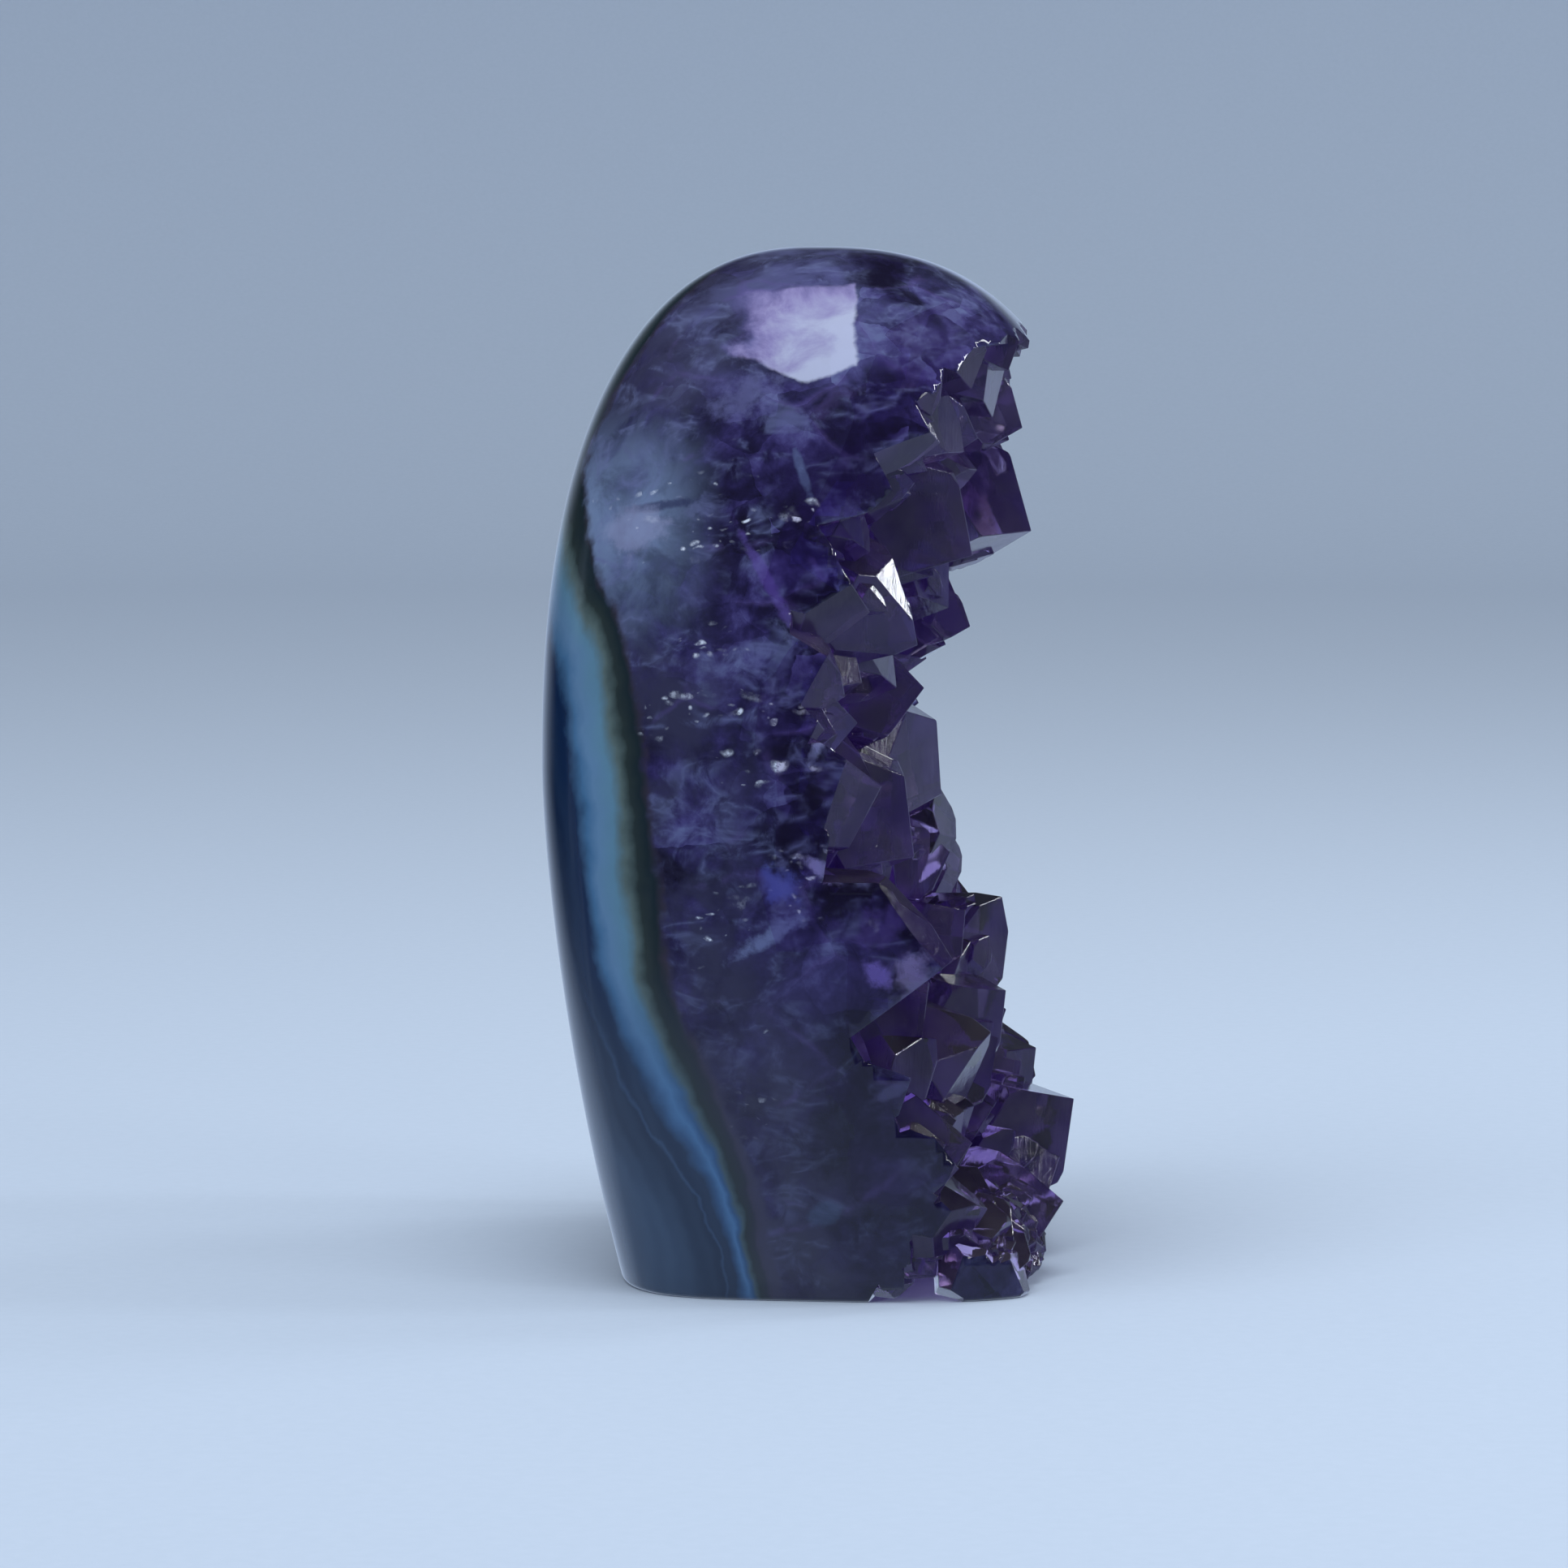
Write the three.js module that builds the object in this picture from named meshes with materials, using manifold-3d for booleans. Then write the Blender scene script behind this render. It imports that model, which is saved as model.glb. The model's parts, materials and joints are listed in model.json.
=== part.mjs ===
// Amethyst druzy point: a piece of geode wall that stands on a sawn foot. Its back and sides are ground and
// polished to one smooth egg-like form, and its front keeps the natural crust of quartz crystals that lined
// the cavity. It grew as one piece, so it is one closed solid: the crystals are fused to the wall that they
// grow from, and those at the rim are ground off flush with the polished form.
// Millimetres, +Z up, +X towards the crystals, origin at the middle of the sawn foot.

import * as THREE from "three";
import { mergeVertices } from "three/addons/utils/BufferGeometryUtils.js";
import Module from "manifold-3d";

// ---- Polished form ----
const HEIGHT = 75; // foot to crown
const HALF_WIDTH = 24; // across, at the waist
const WAIST_HEIGHT = 30; // where the stone is widest across
const WAIST_FALL = 62; // the width narrows below the waist as an ellipse this high
const WIDTH_POWER = 2.1; // squareness of the dome seen from the front; 2 is an ellipse
const BELLY_HEIGHT = 37.5; // where the back bulges most
const BACK_DEPTH = 19.7; // crown line to the polished back, at the belly
const FRONT_DEPTH = 22.8; // crown line to where the grinding would reach in front
const BACK_POWER = 2.4; // squareness of the dome seen from the side
const FRONT_POWER = 2.6; // the same, in front
const BACK_FALL = 68; // the back falls in below the belly, towards a point this far down
const BACK_FALL_POWER = 1.42; // under 2 is straighter than an ellipse
const FRONT_FALL = 160; // the front hardly falls in, so the foot reaches well forward
const PLAN_POWER = 2.65; // squareness of the plan, at the belly and above
const FOOT_PLAN_POWER = 3.6; // squarer at the foot
const FOOT_ROUND = 0.4; // rounding of the foot's edge
const RINGS = 30; // of the polished form's mesh
const SEGMENTS = 60; // around it
const FOOT_TURNS = [0, 30, 60, 90]; // steps of the foot's rounded edge, in degrees

// ---- Cavity wall, the surface that the crystals stand on: forward reach and height, foot to crown ----
const WALL_PROFILE = [
  [6.5, -1],
  [8, 1.5],
  [10.6, 5.5],
  [9.6, 13],
  [5.5, 21],
  [1.6, 29],
  [0.6, 36],
  [1.4, 44],
  [5, 53],
  [6.8, 60],
  [9.2, 65],
  [12.4, 67.2],
  [15.2, 68],
];
const SIDE_FALL_LOW = 0.002; // the wall falls back from its middle to its sides, per mm, little below...
const SIDE_FALL_HIGH = 0.011; // ...and more near the top
const SIDE_FALL_FROM = 44; // between these heights
const SIDE_FALL_TO = 56;
const WALL_POINTS = 36; // along the wall's side view
const WALL_STEPS = 8; // across the stone
const BLOCK_MARGIN = 1.1; // the wall's block is this much wider than the stone, so that it never ends inside

// ---- Crystals ----
const TIP_ANGLE = 51.8; // slope of a quartz tip's faces, the same on every crystal
const CRUST_BOTTOM = 4.2; // small crystals stand above this height...
const CRUST_FRONT = 11; // ...and behind this reach, so that the roof's edge has none
const PITCH = 5.4; // spacing of the small crystals on the wall
const JITTER = 0.22; // of the small crystals, as a share of their spacing
const LEAN = 0.25; // off square to the wall, as a share of the axis
const SMALL_APOTHEM = 2.6;
const APOTHEM_RANGE = 1.9; // the widest small crystals are this much more, and few are that wide
const STAND = 1.25; // how far a small crystal's tip stands off the wall, as a share of its apothem
const STAND_RANGE = 0.5;
const SMALL_LAG = 0.2; // how far the small tip faces stand out, as a share of the apothem
const SMALL_LAG_RANGE = 0.6;
const LARGE_LAG = 0.25;
const LARGE_LAG_RANGE = 0.5;
const CLEARANCE = 0.8; // no small tip comes nearer a large one than this share of its apothem
const SMALL_LENGTH = 12; // tip to buried root
const LARGE_LENGTH = 17;
const SEED = 20;

// The large crystals: tip, pitch (up) and yaw (towards +Y) of the axis and twist about it in degrees, and
// apothem.
const LARGE = [
  { tip: [15.6, 0, 67.8], pitch: -38, yaw: 0, twist: 0, apothem: 4.2 },
  { tip: [14.0, 6, 65.2], pitch: -20, yaw: 10, twist: 20, apothem: 2.4 },
  { tip: [15.0, 4, 61.6], pitch: -18, yaw: 4, twist: 30, apothem: 3.2 },
  { tip: [13.8, 8, 58.4], pitch: -10, yaw: 8, twist: 10, apothem: 2.2 },
  { tip: [15.6, 5, 53.9], pitch: -17, yaw: 2, twist: 0, apothem: 5.2 },
  { tip: [12.4, -8, 52.7], pitch: -22, yaw: -12, twist: 30, apothem: 5.0 },
  { tip: [10.2, -3, 48.6], pitch: -32, yaw: -4, twist: 5, apothem: 3.2 },
  { tip: [11.0, 4, 47.0], pitch: -9, yaw: 4, twist: 0, apothem: 3.2 },
  { tip: [8.7, -6, 42.9], pitch: 2, yaw: -6, twist: 30, apothem: 3.8 },
  { tip: [9.2, 2, 34.4], pitch: -27, yaw: 0, twist: 60, apothem: 4.8 },
  { tip: [8.3, -9, 30.8], pitch: -23, yaw: -14, twist: 22, apothem: 5.0 },
  { tip: [9.4, 7, 29.6], pitch: 7, yaw: 10, twist: 30, apothem: 3.6 },
  { tip: [13.4, 6, 26.4], pitch: 43, yaw: 2, twist: 0, apothem: 4.4 },
  { tip: [11.4, -2, 26.2], pitch: 30, yaw: -8, twist: 15, apothem: 2.8 },
  { tip: [14.5, -3, 20.4], pitch: 26, yaw: -10, twist: 30, apothem: 3.8 },
  { tip: [13.4, 10, 17.4], pitch: 20, yaw: 6, twist: 0, apothem: 2.6 },
  { tip: [14.8, 7, 13.8], pitch: 24, yaw: 4, twist: 30, apothem: 3.2 },
  { tip: [19.1, 3, 11.6], pitch: 25, yaw: 0, twist: 30, apothem: 5.2 },
  { tip: [18.2, 1, 7.5], pitch: 20, yaw: -2, twist: 10, apothem: 4.6 },
  { tip: [19.2, -8, 5.6], pitch: 14, yaw: -10, twist: 0, apothem: 4.6 },
  { tip: [14.8, -6, 66.0], pitch: -50, yaw: -12, twist: 40, apothem: 3.2 },
  { tip: [14.6, 6, 66.8], pitch: -52, yaw: 8, twist: 15, apothem: 2.8 },
  { tip: [12.6, -11.5, 64.8], pitch: -44, yaw: -24, twist: 10, apothem: 3.2 },
  { tip: [12.8, 12, 65.0], pitch: -46, yaw: 22, twist: 50, apothem: 3.4 },
  { tip: [15.6, 12, 5.2], pitch: 4, yaw: 10, twist: 30, apothem: 4.4 },
  { tip: [12.4, -22, 24.8], pitch: -2, yaw: -6, twist: 10, apothem: 5.4 },
  { tip: [7.2, -21, 37.0], pitch: 6, yaw: 2, twist: 40, apothem: 4.2 },
  { tip: [13.6, -20, 11.5], pitch: 8, yaw: -12, twist: 20, apothem: 4.6 },
];

const wasm = await Module();
wasm.setup();

const radians = THREE.MathUtils.degToRad;

// A three.js geometry as a manifold-3d solid.
function solidOf(geometry) {
  const bare = new THREE.BufferGeometry();
  bare.setAttribute("position", geometry.getAttribute("position"));
  bare.setIndex(geometry.getIndex());
  const merged = mergeVertices(bare, 1e-4);
  return new wasm.Manifold(
    new wasm.Mesh({
      numProp: 3,
      vertProperties: merged.attributes.position.array,
      triVerts: new Uint32Array(merged.index.array),
    }),
  );
}

// And back again.
function geometryOf(solid) {
  const { vertProperties, triVerts } = solid.getMesh();
  const geometry = new THREE.BufferGeometry();
  geometry.setAttribute("position", new THREE.BufferAttribute(vertProperties, 3));
  geometry.setIndex(new THREE.BufferAttribute(triVerts, 1));
  return geometry;
}

// Moves every vertex of a geometry by a function of its place.
function reshape(geometry, move) {
  const position = geometry.getAttribute("position");
  const v = new THREE.Vector3();
  for (let i = 0; i < position.count; i++) {
    move(v.fromBufferAttribute(position, i));
    position.setXYZ(i, v.x, v.y, v.z);
  }
  return geometry;
}

// Repeatable random numbers from 0 to 1.
let state = SEED;
function random() {
  state = (Math.imul(state, 1664525) + 1013904223) >>> 0;
  return state / 2 ** 32;
}
const spread = (size) => (random() * 2 - 1) * size;

// A dome's half-width at a height, as a share of its widest: above its middle it closes at the crown, and
// below it falls in towards a point that lies under the foot.
function narrowing(height, middle, power, fall, fallPower) {
  const above = (height - middle) / (HEIGHT - middle);
  const below = (middle - height) / fall;
  const [along, p] = height > middle ? [above, power] : [below, fallPower];
  return Math.max(0, 1 - along ** p) ** (1 / p);
}

const signedPower = (value, power) => Math.sign(value) * Math.abs(value) ** power;

// The polished form: a lathed blank whose rings are stretched into rounded plans.
function polishedForm() {
  const profile = [new THREE.Vector2(0, 0)];
  for (const turn of FOOT_TURNS) {
    const inset = (FOOT_ROUND * (1 - Math.sin(radians(turn)))) / BACK_DEPTH;
    profile.push(new THREE.Vector2(1 - inset, FOOT_ROUND * (1 - Math.cos(radians(turn)))));
  }
  for (let ring = 1; ring <= RINGS; ring++) {
    const share = Math.sin((ring / RINGS) * (Math.PI / 2));
    profile.push(new THREE.Vector2(ring < RINGS ? 1 : 0, FOOT_ROUND + (HEIGHT - FOOT_ROUND) * share));
  }
  const blank = new THREE.LatheGeometry(profile, SEGMENTS);
  return solidOf(
    reshape(blank, (v) => {
      const height = v.y;
      const share = Math.hypot(v.x, v.z);
      const angle = Math.atan2(v.x, v.z);
      const inFront = Math.cos(angle) > 0;
      const depth = inFront ? FRONT_DEPTH : BACK_DEPTH;
      const power = inFront ? FRONT_POWER : BACK_POWER;
      const fall = inFront ? FRONT_FALL : BACK_FALL;
      const sideView = narrowing(height, BELLY_HEIGHT, power, fall, BACK_FALL_POWER);
      const frontView = narrowing(height, WAIST_HEIGHT, WIDTH_POWER, WAIST_FALL, 2);
      const nearFoot = Math.max(0, 1 - height / BELLY_HEIGHT);
      const planPower = THREE.MathUtils.lerp(PLAN_POWER, FOOT_PLAN_POWER, nearFoot);
      v.x = share * depth * sideView * signedPower(Math.cos(angle), 2 / planPower);
      v.y = share * HALF_WIDTH * frontView * signedPower(Math.sin(angle), 2 / planPower);
      v.z = height;
    }),
  );
}

const wallCurve = new THREE.SplineCurve(WALL_PROFILE.map(([x, z]) => new THREE.Vector2(x, z)));

// How far the wall lies behind its side view at a place.
function sideFall(y, z) {
  const share = THREE.MathUtils.smoothstep(z, SIDE_FALL_FROM, SIDE_FALL_TO);
  return THREE.MathUtils.lerp(SIDE_FALL_LOW, SIDE_FALL_HIGH, share) * y * y;
}

// Everything behind the cavity wall: its side view, extruded across the stone.
function wallBlock() {
  const behind = -2 * BACK_DEPTH;
  const above = HEIGHT + 1;
  const [roofEdge] = WALL_PROFILE.at(-1);
  const sideView = new THREE.Shape([
    new THREE.Vector2(behind, WALL_PROFILE[0][1]),
    ...wallCurve.getPoints(WALL_POINTS),
    new THREE.Vector2(roofEdge, above),
    new THREE.Vector2(behind, above),
  ]);
  const width = 2 * BLOCK_MARGIN * HALF_WIDTH;
  const block = new THREE.ExtrudeGeometry(sideView, { depth: width, steps: WALL_STEPS, bevelEnabled: false });
  block.rotateX(Math.PI / 2);
  block.translate(0, width / 2, 0);
  return solidOf(
    reshape(block, (v) => {
      if (v.x > behind) v.x -= sideFall(v.y, v.z);
    }),
  );
}

// One quartz crystal with its tip at the origin, pointing up: a six-sided prism closed by three large and
// three small sloping faces, each over a side of the prism. lag is how far the small faces stand out past the
// large ones.
function crystalShapes(apothem, length, lag) {
  const radius = apothem / Math.cos(Math.PI / 6);
  const prism = new THREE.CylinderGeometry(radius, radius, length, 6);
  prism.rotateY(Math.PI / 6);
  prism.translate(0, -length / 2, 0);
  const coneHeight = 2 * length;
  const coneRadius = (2 * coneHeight) / Math.tan(radians(TIP_ANGLE));
  const largeFaces = new THREE.ConeGeometry(coneRadius, coneHeight, 3);
  largeFaces.translate(0, -coneHeight / 2, 0);
  const smallFaces = new THREE.ConeGeometry(coneRadius, coneHeight, 3);
  smallFaces.rotateY(Math.PI / 3);
  smallFaces.translate(0, lag - coneHeight / 2, 0);
  return [prism, largeFaces, smallFaces];
}

// A crystal with its tip at a place and its axis along a direction, turned about that axis.
function crystalAt(tip, axis, twist, apothem, length, lag) {
  const lean = new THREE.Quaternion().setFromUnitVectors(new THREE.Vector3(0, 1, 0), axis);
  const place = new THREE.Matrix4().compose(tip, lean, new THREE.Vector3(1, 1, 1));
  const solids = crystalShapes(apothem, length, lag).map((shape) => {
    shape.rotateY(radians(twist));
    return solidOf(shape.applyMatrix4(place));
  });
  return solids.reduce((whole, solid) => whole.intersect(solid));
}

function largeCrystals() {
  return LARGE.map(({ tip, pitch, yaw, twist, apothem }) => {
    const place = new THREE.Vector3(...tip);
    const axis = new THREE.Vector3(
      Math.cos(radians(pitch)) * Math.cos(radians(yaw)),
      Math.cos(radians(pitch)) * Math.sin(radians(yaw)),
      Math.sin(radians(pitch)),
    );
    const lag = apothem * (LARGE_LAG + LARGE_LAG_RANGE * random());
    return crystalAt(place, axis, twist, apothem, LARGE_LENGTH, lag);
  });
}

// The crust between the large crystals: a staggered, jittered spread over the wall, each crystal standing
// nearly square to it.
function smallCrystals() {
  const made = [];
  const rows = Math.round(wallCurve.getLength() / (PITCH * Math.sin(Math.PI / 3)));
  const columns = Math.ceil((2 * HALF_WIDTH) / PITCH);
  for (let row = 0; row <= rows; row++) {
    for (let column = 0; column <= columns; column++) {
      const along = THREE.MathUtils.clamp((row + spread(JITTER)) / rows, 0, 1);
      const y = (column - columns / 2 + (row % 2) / 2 + spread(JITTER)) * PITCH;
      const apothem = SMALL_APOTHEM + APOTHEM_RANGE * random() ** 2;
      const stand = apothem * (STAND + STAND_RANGE * random());
      const twist = 120 * random();
      const lag = apothem * (SMALL_LAG + SMALL_LAG_RANGE * random());
      const lean = new THREE.Vector3(0, spread(LEAN), spread(LEAN));
      const foot = wallCurve.getPointAt(along);
      const slope = wallCurve.getTangentAt(along);
      const axis = new THREE.Vector3(slope.y, 0, -slope.x).add(lean).normalize();
      const tip = new THREE.Vector3(foot.x - sideFall(y, foot.y), y, foot.y).addScaledVector(axis, stand);
      const crowded = LARGE.some((large) => {
        const [, tipY, tipZ] = large.tip;
        return Math.hypot(tipY - tip.y, tipZ - tip.z) < CLEARANCE * large.apothem;
      });
      const onWall = foot.y > CRUST_BOTTOM && foot.x < CRUST_FRONT;
      if (onWall && !crowded) made.push(crystalAt(tip, axis, twist, apothem, SMALL_LENGTH, lag));
    }
  }
  return made;
}

function stone() {
  const crust = wasm.Manifold.union([wallBlock(), ...largeCrystals(), ...smallCrystals()]);
  const whole = crust.intersect(polishedForm());
  const pieces = whole.decompose().sort((a, b) => b.volume() - a.volume());
  const material = new THREE.MeshStandardMaterial({ color: "#3a2c68", roughness: 0.12, metalness: 0 });
  const mesh = new THREE.Mesh(geometryOf(pieces[0]), material);
  mesh.name = "amethyst_point";
  return mesh;
}

const part = new THREE.Group();
part.add(stone());

export default part;
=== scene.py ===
# %% [markdown]
# # Amethyst druzy point
#
# A piece of geode wall stands on a sawn foot. Its back and sides are ground and polished to one smooth
# form: a rind of blue agate, a thin green selvage, then quartz that turns from milky to purple. Its front
# is natural, a crust of pointed quartz crystals. All of it grew as one piece, so it is one closed mesh here
# too.
#
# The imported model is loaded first. It is a fixed frame: its box says how large the stone is. The stone is
# built in millimetres, with the middle of its foot at the origin, and brought to its real size at the end.

# %% Load the frame
import json
import math

import bmesh
import bpy
from mathutils import Matrix, Vector

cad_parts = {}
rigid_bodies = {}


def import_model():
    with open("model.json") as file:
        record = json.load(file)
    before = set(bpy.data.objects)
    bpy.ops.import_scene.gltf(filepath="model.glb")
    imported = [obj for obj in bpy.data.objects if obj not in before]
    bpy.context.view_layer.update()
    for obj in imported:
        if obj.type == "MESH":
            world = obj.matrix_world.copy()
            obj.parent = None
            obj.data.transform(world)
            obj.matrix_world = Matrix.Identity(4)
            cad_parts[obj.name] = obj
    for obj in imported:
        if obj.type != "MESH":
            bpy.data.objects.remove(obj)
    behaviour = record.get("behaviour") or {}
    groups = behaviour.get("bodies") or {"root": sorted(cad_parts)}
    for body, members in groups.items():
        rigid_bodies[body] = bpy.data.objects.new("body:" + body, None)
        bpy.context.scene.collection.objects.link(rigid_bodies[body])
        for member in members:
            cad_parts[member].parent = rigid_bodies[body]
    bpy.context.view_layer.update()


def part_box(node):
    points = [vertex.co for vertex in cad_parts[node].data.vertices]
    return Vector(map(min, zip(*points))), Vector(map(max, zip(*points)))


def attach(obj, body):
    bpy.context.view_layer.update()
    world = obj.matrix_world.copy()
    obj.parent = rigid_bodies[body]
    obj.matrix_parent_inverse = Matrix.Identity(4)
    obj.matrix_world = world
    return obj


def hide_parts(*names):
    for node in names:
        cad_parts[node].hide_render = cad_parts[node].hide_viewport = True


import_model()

STONE = "amethyst_point"
low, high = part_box(STONE)
HEIGHT = 75
mm = (high.z - low.z) / HEIGHT
print("one millimetre of the stone is", round(mm, 6), "m")

# %% [markdown]
# ## The polished form
#
# A lapidary grinds the stone on a wheel until no flat is left, so its outline is a rounded one from the
# side, from the front and from above. It could be sculpted, or subdivided from a cage, but then its outline
# could only be tuned by eye. Here a straight profile is spun into a drum, and each ring of the drum is
# pulled to a rounded plan (a superellipse) whose depth and width follow the side view and the front view.

# %% Dimensions of the polished form
HALF_WIDTH = 24
WAIST_HEIGHT = 30
WAIST_FALL = 62
WIDTH_POWER = 2.1
BELLY_HEIGHT = 37.5
BACK_DEPTH = 19.7
FRONT_DEPTH = 22.8
BACK_POWER = 2.4
FRONT_POWER = 2.6
BACK_FALL = 68
FALL_POWER = 1.42
FRONT_FALL = 160
PLAN_POWER = 2.65
FOOT_PLAN_POWER = 3.6
FOOT_ROUND = 0.4
FOOT_STEPS = 6
RINGS = 110
SEGMENTS = 240
WELD = 1e-4


# %% Helpers for meshes
def everything(bm):
    return bm.verts[:] + bm.edges[:] + bm.faces[:]


def spun(profile, steps, weld):
    """A surface made by turning a profile of (reach, height) once round the Z axis."""
    bm = bmesh.new()
    verts = [bm.verts.new((reach, 0, height)) for reach, height in profile]
    edges = [bm.edges.new(pair) for pair in zip(verts, verts[1:])]
    bmesh.ops.spin(bm, geom=verts + edges, axis=(0, 0, 1), cent=(0, 0, 0), angle=2 * math.pi, steps=steps,
                   use_merge=True)
    bmesh.ops.remove_doubles(bm, verts=bm.verts, dist=weld)
    return bm


def object_of(bm, name, materials=()):
    bmesh.ops.recalc_face_normals(bm, faces=bm.faces)
    mesh = bpy.data.meshes.new(name)
    bm.to_mesh(mesh)
    bm.free()
    for material in materials:
        mesh.materials.append(material)
    thing = bpy.data.objects.new(name, mesh)
    bpy.context.scene.collection.objects.link(thing)
    return thing


# %% The polished form's rings
def narrowing(height, middle, power, fall, fall_power):
    """Half-width at a height as a share of the widest: closing at the crown, less below the middle."""
    if height > middle:
        along = (height - middle) / (HEIGHT - middle)
    else:
        along, power = (middle - height) / fall, fall_power
    return max(0, 1 - along**power) ** (1 / power)


def signed_power(value, power):
    return math.copysign(abs(value) ** power, value)


def polished_place(share, angle, height):
    depth, power, fall = BACK_DEPTH, BACK_POWER, BACK_FALL
    if math.cos(angle) > 0:
        depth, power, fall = FRONT_DEPTH, FRONT_POWER, FRONT_FALL
    side_view = narrowing(height, BELLY_HEIGHT, power, fall, FALL_POWER)
    front_view = narrowing(height, WAIST_HEIGHT, WIDTH_POWER, WAIST_FALL, 2)
    near_foot = max(0, 1 - height / BELLY_HEIGHT)
    plan_power = PLAN_POWER + (FOOT_PLAN_POWER - PLAN_POWER) * near_foot
    x = share * depth * side_view * signed_power(math.cos(angle), 2 / plan_power)
    y = share * HALF_WIDTH * front_view * signed_power(math.sin(angle), 2 / plan_power)
    return Vector((x, y, height))


def polished_form():
    profile = [(0, 0)]
    for step in range(FOOT_STEPS + 1):
        turn = math.pi / 2 * step / FOOT_STEPS
        reach = 1 - FOOT_ROUND * (1 - math.sin(turn)) / BACK_DEPTH
        profile.append((reach, FOOT_ROUND * (1 - math.cos(turn))))
    for ring in range(1, RINGS + 1):
        share = math.sin(math.pi / 2 * ring / RINGS)
        profile.append((1 if ring < RINGS else 0, FOOT_ROUND + (HEIGHT - FOOT_ROUND) * share))
    bm = spun(profile, SEGMENTS, WELD / 10)
    for vert in bm.verts:
        x, y, z = vert.co
        vert.co = polished_place(math.hypot(x, y), math.atan2(y, x), z)
    return bm


# %% [markdown]
# ## The wall that the crystals stand on
#
# The cavity's wall curves in behind an overhanging crown and steps out again at the foot. Its side view is
# one smooth curve through a few points (a Catmull-Rom spline), and a face with that edge is extruded across
# the stone. Then the wall is bent back a little towards its two sides.

# %% Dimensions of the wall
WALL_PROFILE = [(6.5, -1), (8, 1.5), (10.6, 5.5), (9.6, 13), (5.5, 21), (1.6, 29), (0.6, 36),
                (1.4, 44), (5, 53), (6.8, 60), (9.2, 65), (12.4, 67.2), (15.2, 68)]
SIDE_FALL_LOW = 0.002
SIDE_FALL_HIGH = 0.011
SIDE_FALL_FROM = 44
SIDE_FALL_TO = 56
WALL_POINTS = 36
WALL_STEPS = 8
BLOCK_MARGIN = 1.1
CURVE_SAMPLES = 200


# %% The wall's curve
def wall_point(share):
    spans = len(WALL_PROFILE) - 1
    span = min(int(share * spans), spans - 1)
    t = share * spans - span
    p0, p1, p2, p3 = (Vector(WALL_PROFILE[min(max(span + i, 0), spans)]) for i in (-1, 0, 1, 2))
    into, out = (p2 - p0) / 2, (p3 - p1) / 2
    return (2 * p1 - 2 * p2 + into + out) * t**3 + (3 * p2 - 3 * p1 - 2 * into - out) * t**2 + into * t + p1


wall_samples = [wall_point(i / CURVE_SAMPLES) for i in range(CURVE_SAMPLES + 1)]
wall_lengths = [0]
for start, end in zip(wall_samples, wall_samples[1:]):
    wall_lengths.append(wall_lengths[-1] + (end - start).length)
print("the wall's side view is", round(wall_lengths[-1], 1), "mm long")


def even_share(along):
    """The spline's own share for a share of its length, so that crystals are spread evenly."""
    target = along * wall_lengths[-1]
    after = next((i for i, length in enumerate(wall_lengths) if length >= target and i > 0), CURVE_SAMPLES)
    before = wall_lengths[after - 1]
    return (after - 1 + (target - before) / (wall_lengths[after] - before)) / CURVE_SAMPLES


def wall_slope(along, step=1e-4):
    ahead = wall_point(even_share(min(1, along + step)))
    behind = wall_point(even_share(max(0, along - step)))
    return (ahead - behind).normalized()


def side_fall(y, z):
    share = min(max((z - SIDE_FALL_FROM) / (SIDE_FALL_TO - SIDE_FALL_FROM), 0), 1)
    share = share * share * (3 - 2 * share)
    return (SIDE_FALL_LOW + (SIDE_FALL_HIGH - SIDE_FALL_LOW) * share) * y * y


# %% The wall's block
def wall_block():
    bm = bmesh.new()
    behind, above = -2 * BACK_DEPTH, HEIGHT + 1
    half = BLOCK_MARGIN * HALF_WIDTH
    outline = [(behind, WALL_PROFILE[0][1])]
    outline += [tuple(wall_point(i / WALL_POINTS)) for i in range(WALL_POINTS + 1)]
    outline += [(WALL_PROFILE[-1][0], above), (behind, above)]
    face = bm.faces.new([bm.verts.new((x, half, z)) for x, z in outline])
    made = bmesh.ops.extrude_face_region(bm, geom=[face])["geom"]
    bmesh.ops.translate(bm, verts=[part for part in made if isinstance(part, bmesh.types.BMVert)],
                        vec=(0, -2 * half, 0))
    for step in range(1, WALL_STEPS):
        y = half - 2 * half * step / WALL_STEPS
        bmesh.ops.bisect_plane(bm, geom=everything(bm), plane_co=(0, y, 0), plane_no=(0, 1, 0))
    for vert in bm.verts:
        if vert.co.x > behind:
            vert.co.x -= side_fall(vert.co.y, vert.co.z)
    bmesh.ops.triangulate(bm, faces=bm.faces)
    return bm


# %% [markdown]
# ## One quartz crystal
#
# A quartz crystal is a six-sided prism with a tip of six sloping faces, one over each side: three large
# ones and, between them, three small ones. A cone with six sides would give six equal faces, which is rare
# in nature. So a prism is cut six times instead, as a facet is: `bisect_plane` cuts off what lies outside a
# plane and `holes_fill` closes the cut. The tip slopes at 51.8 degrees on every crystal, because the angle
# comes from the lattice. Last, the edges get a hair-thin bevel, since a real edge always catches a line of
# light.

# %% Dimensions of the crystals
TIP_ANGLE = math.radians(51.8)
LARGE_LENGTH = 17
SMALL_LENGTH = 12
EDGE_WEAR = 0.05
LARGE_FACES = (60, 180, 300)
SMALL_FACES = (0, 120, 240)
CRYSTAL_AXIS = Vector((0, 1, 0))
AXES_TURNED = Matrix(((0, 1, 0, 0), (0, 0, 1, 0), (1, 0, 0, 0), (0, 0, 0, 1)))  # Z, the cone's, becomes Y


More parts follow.
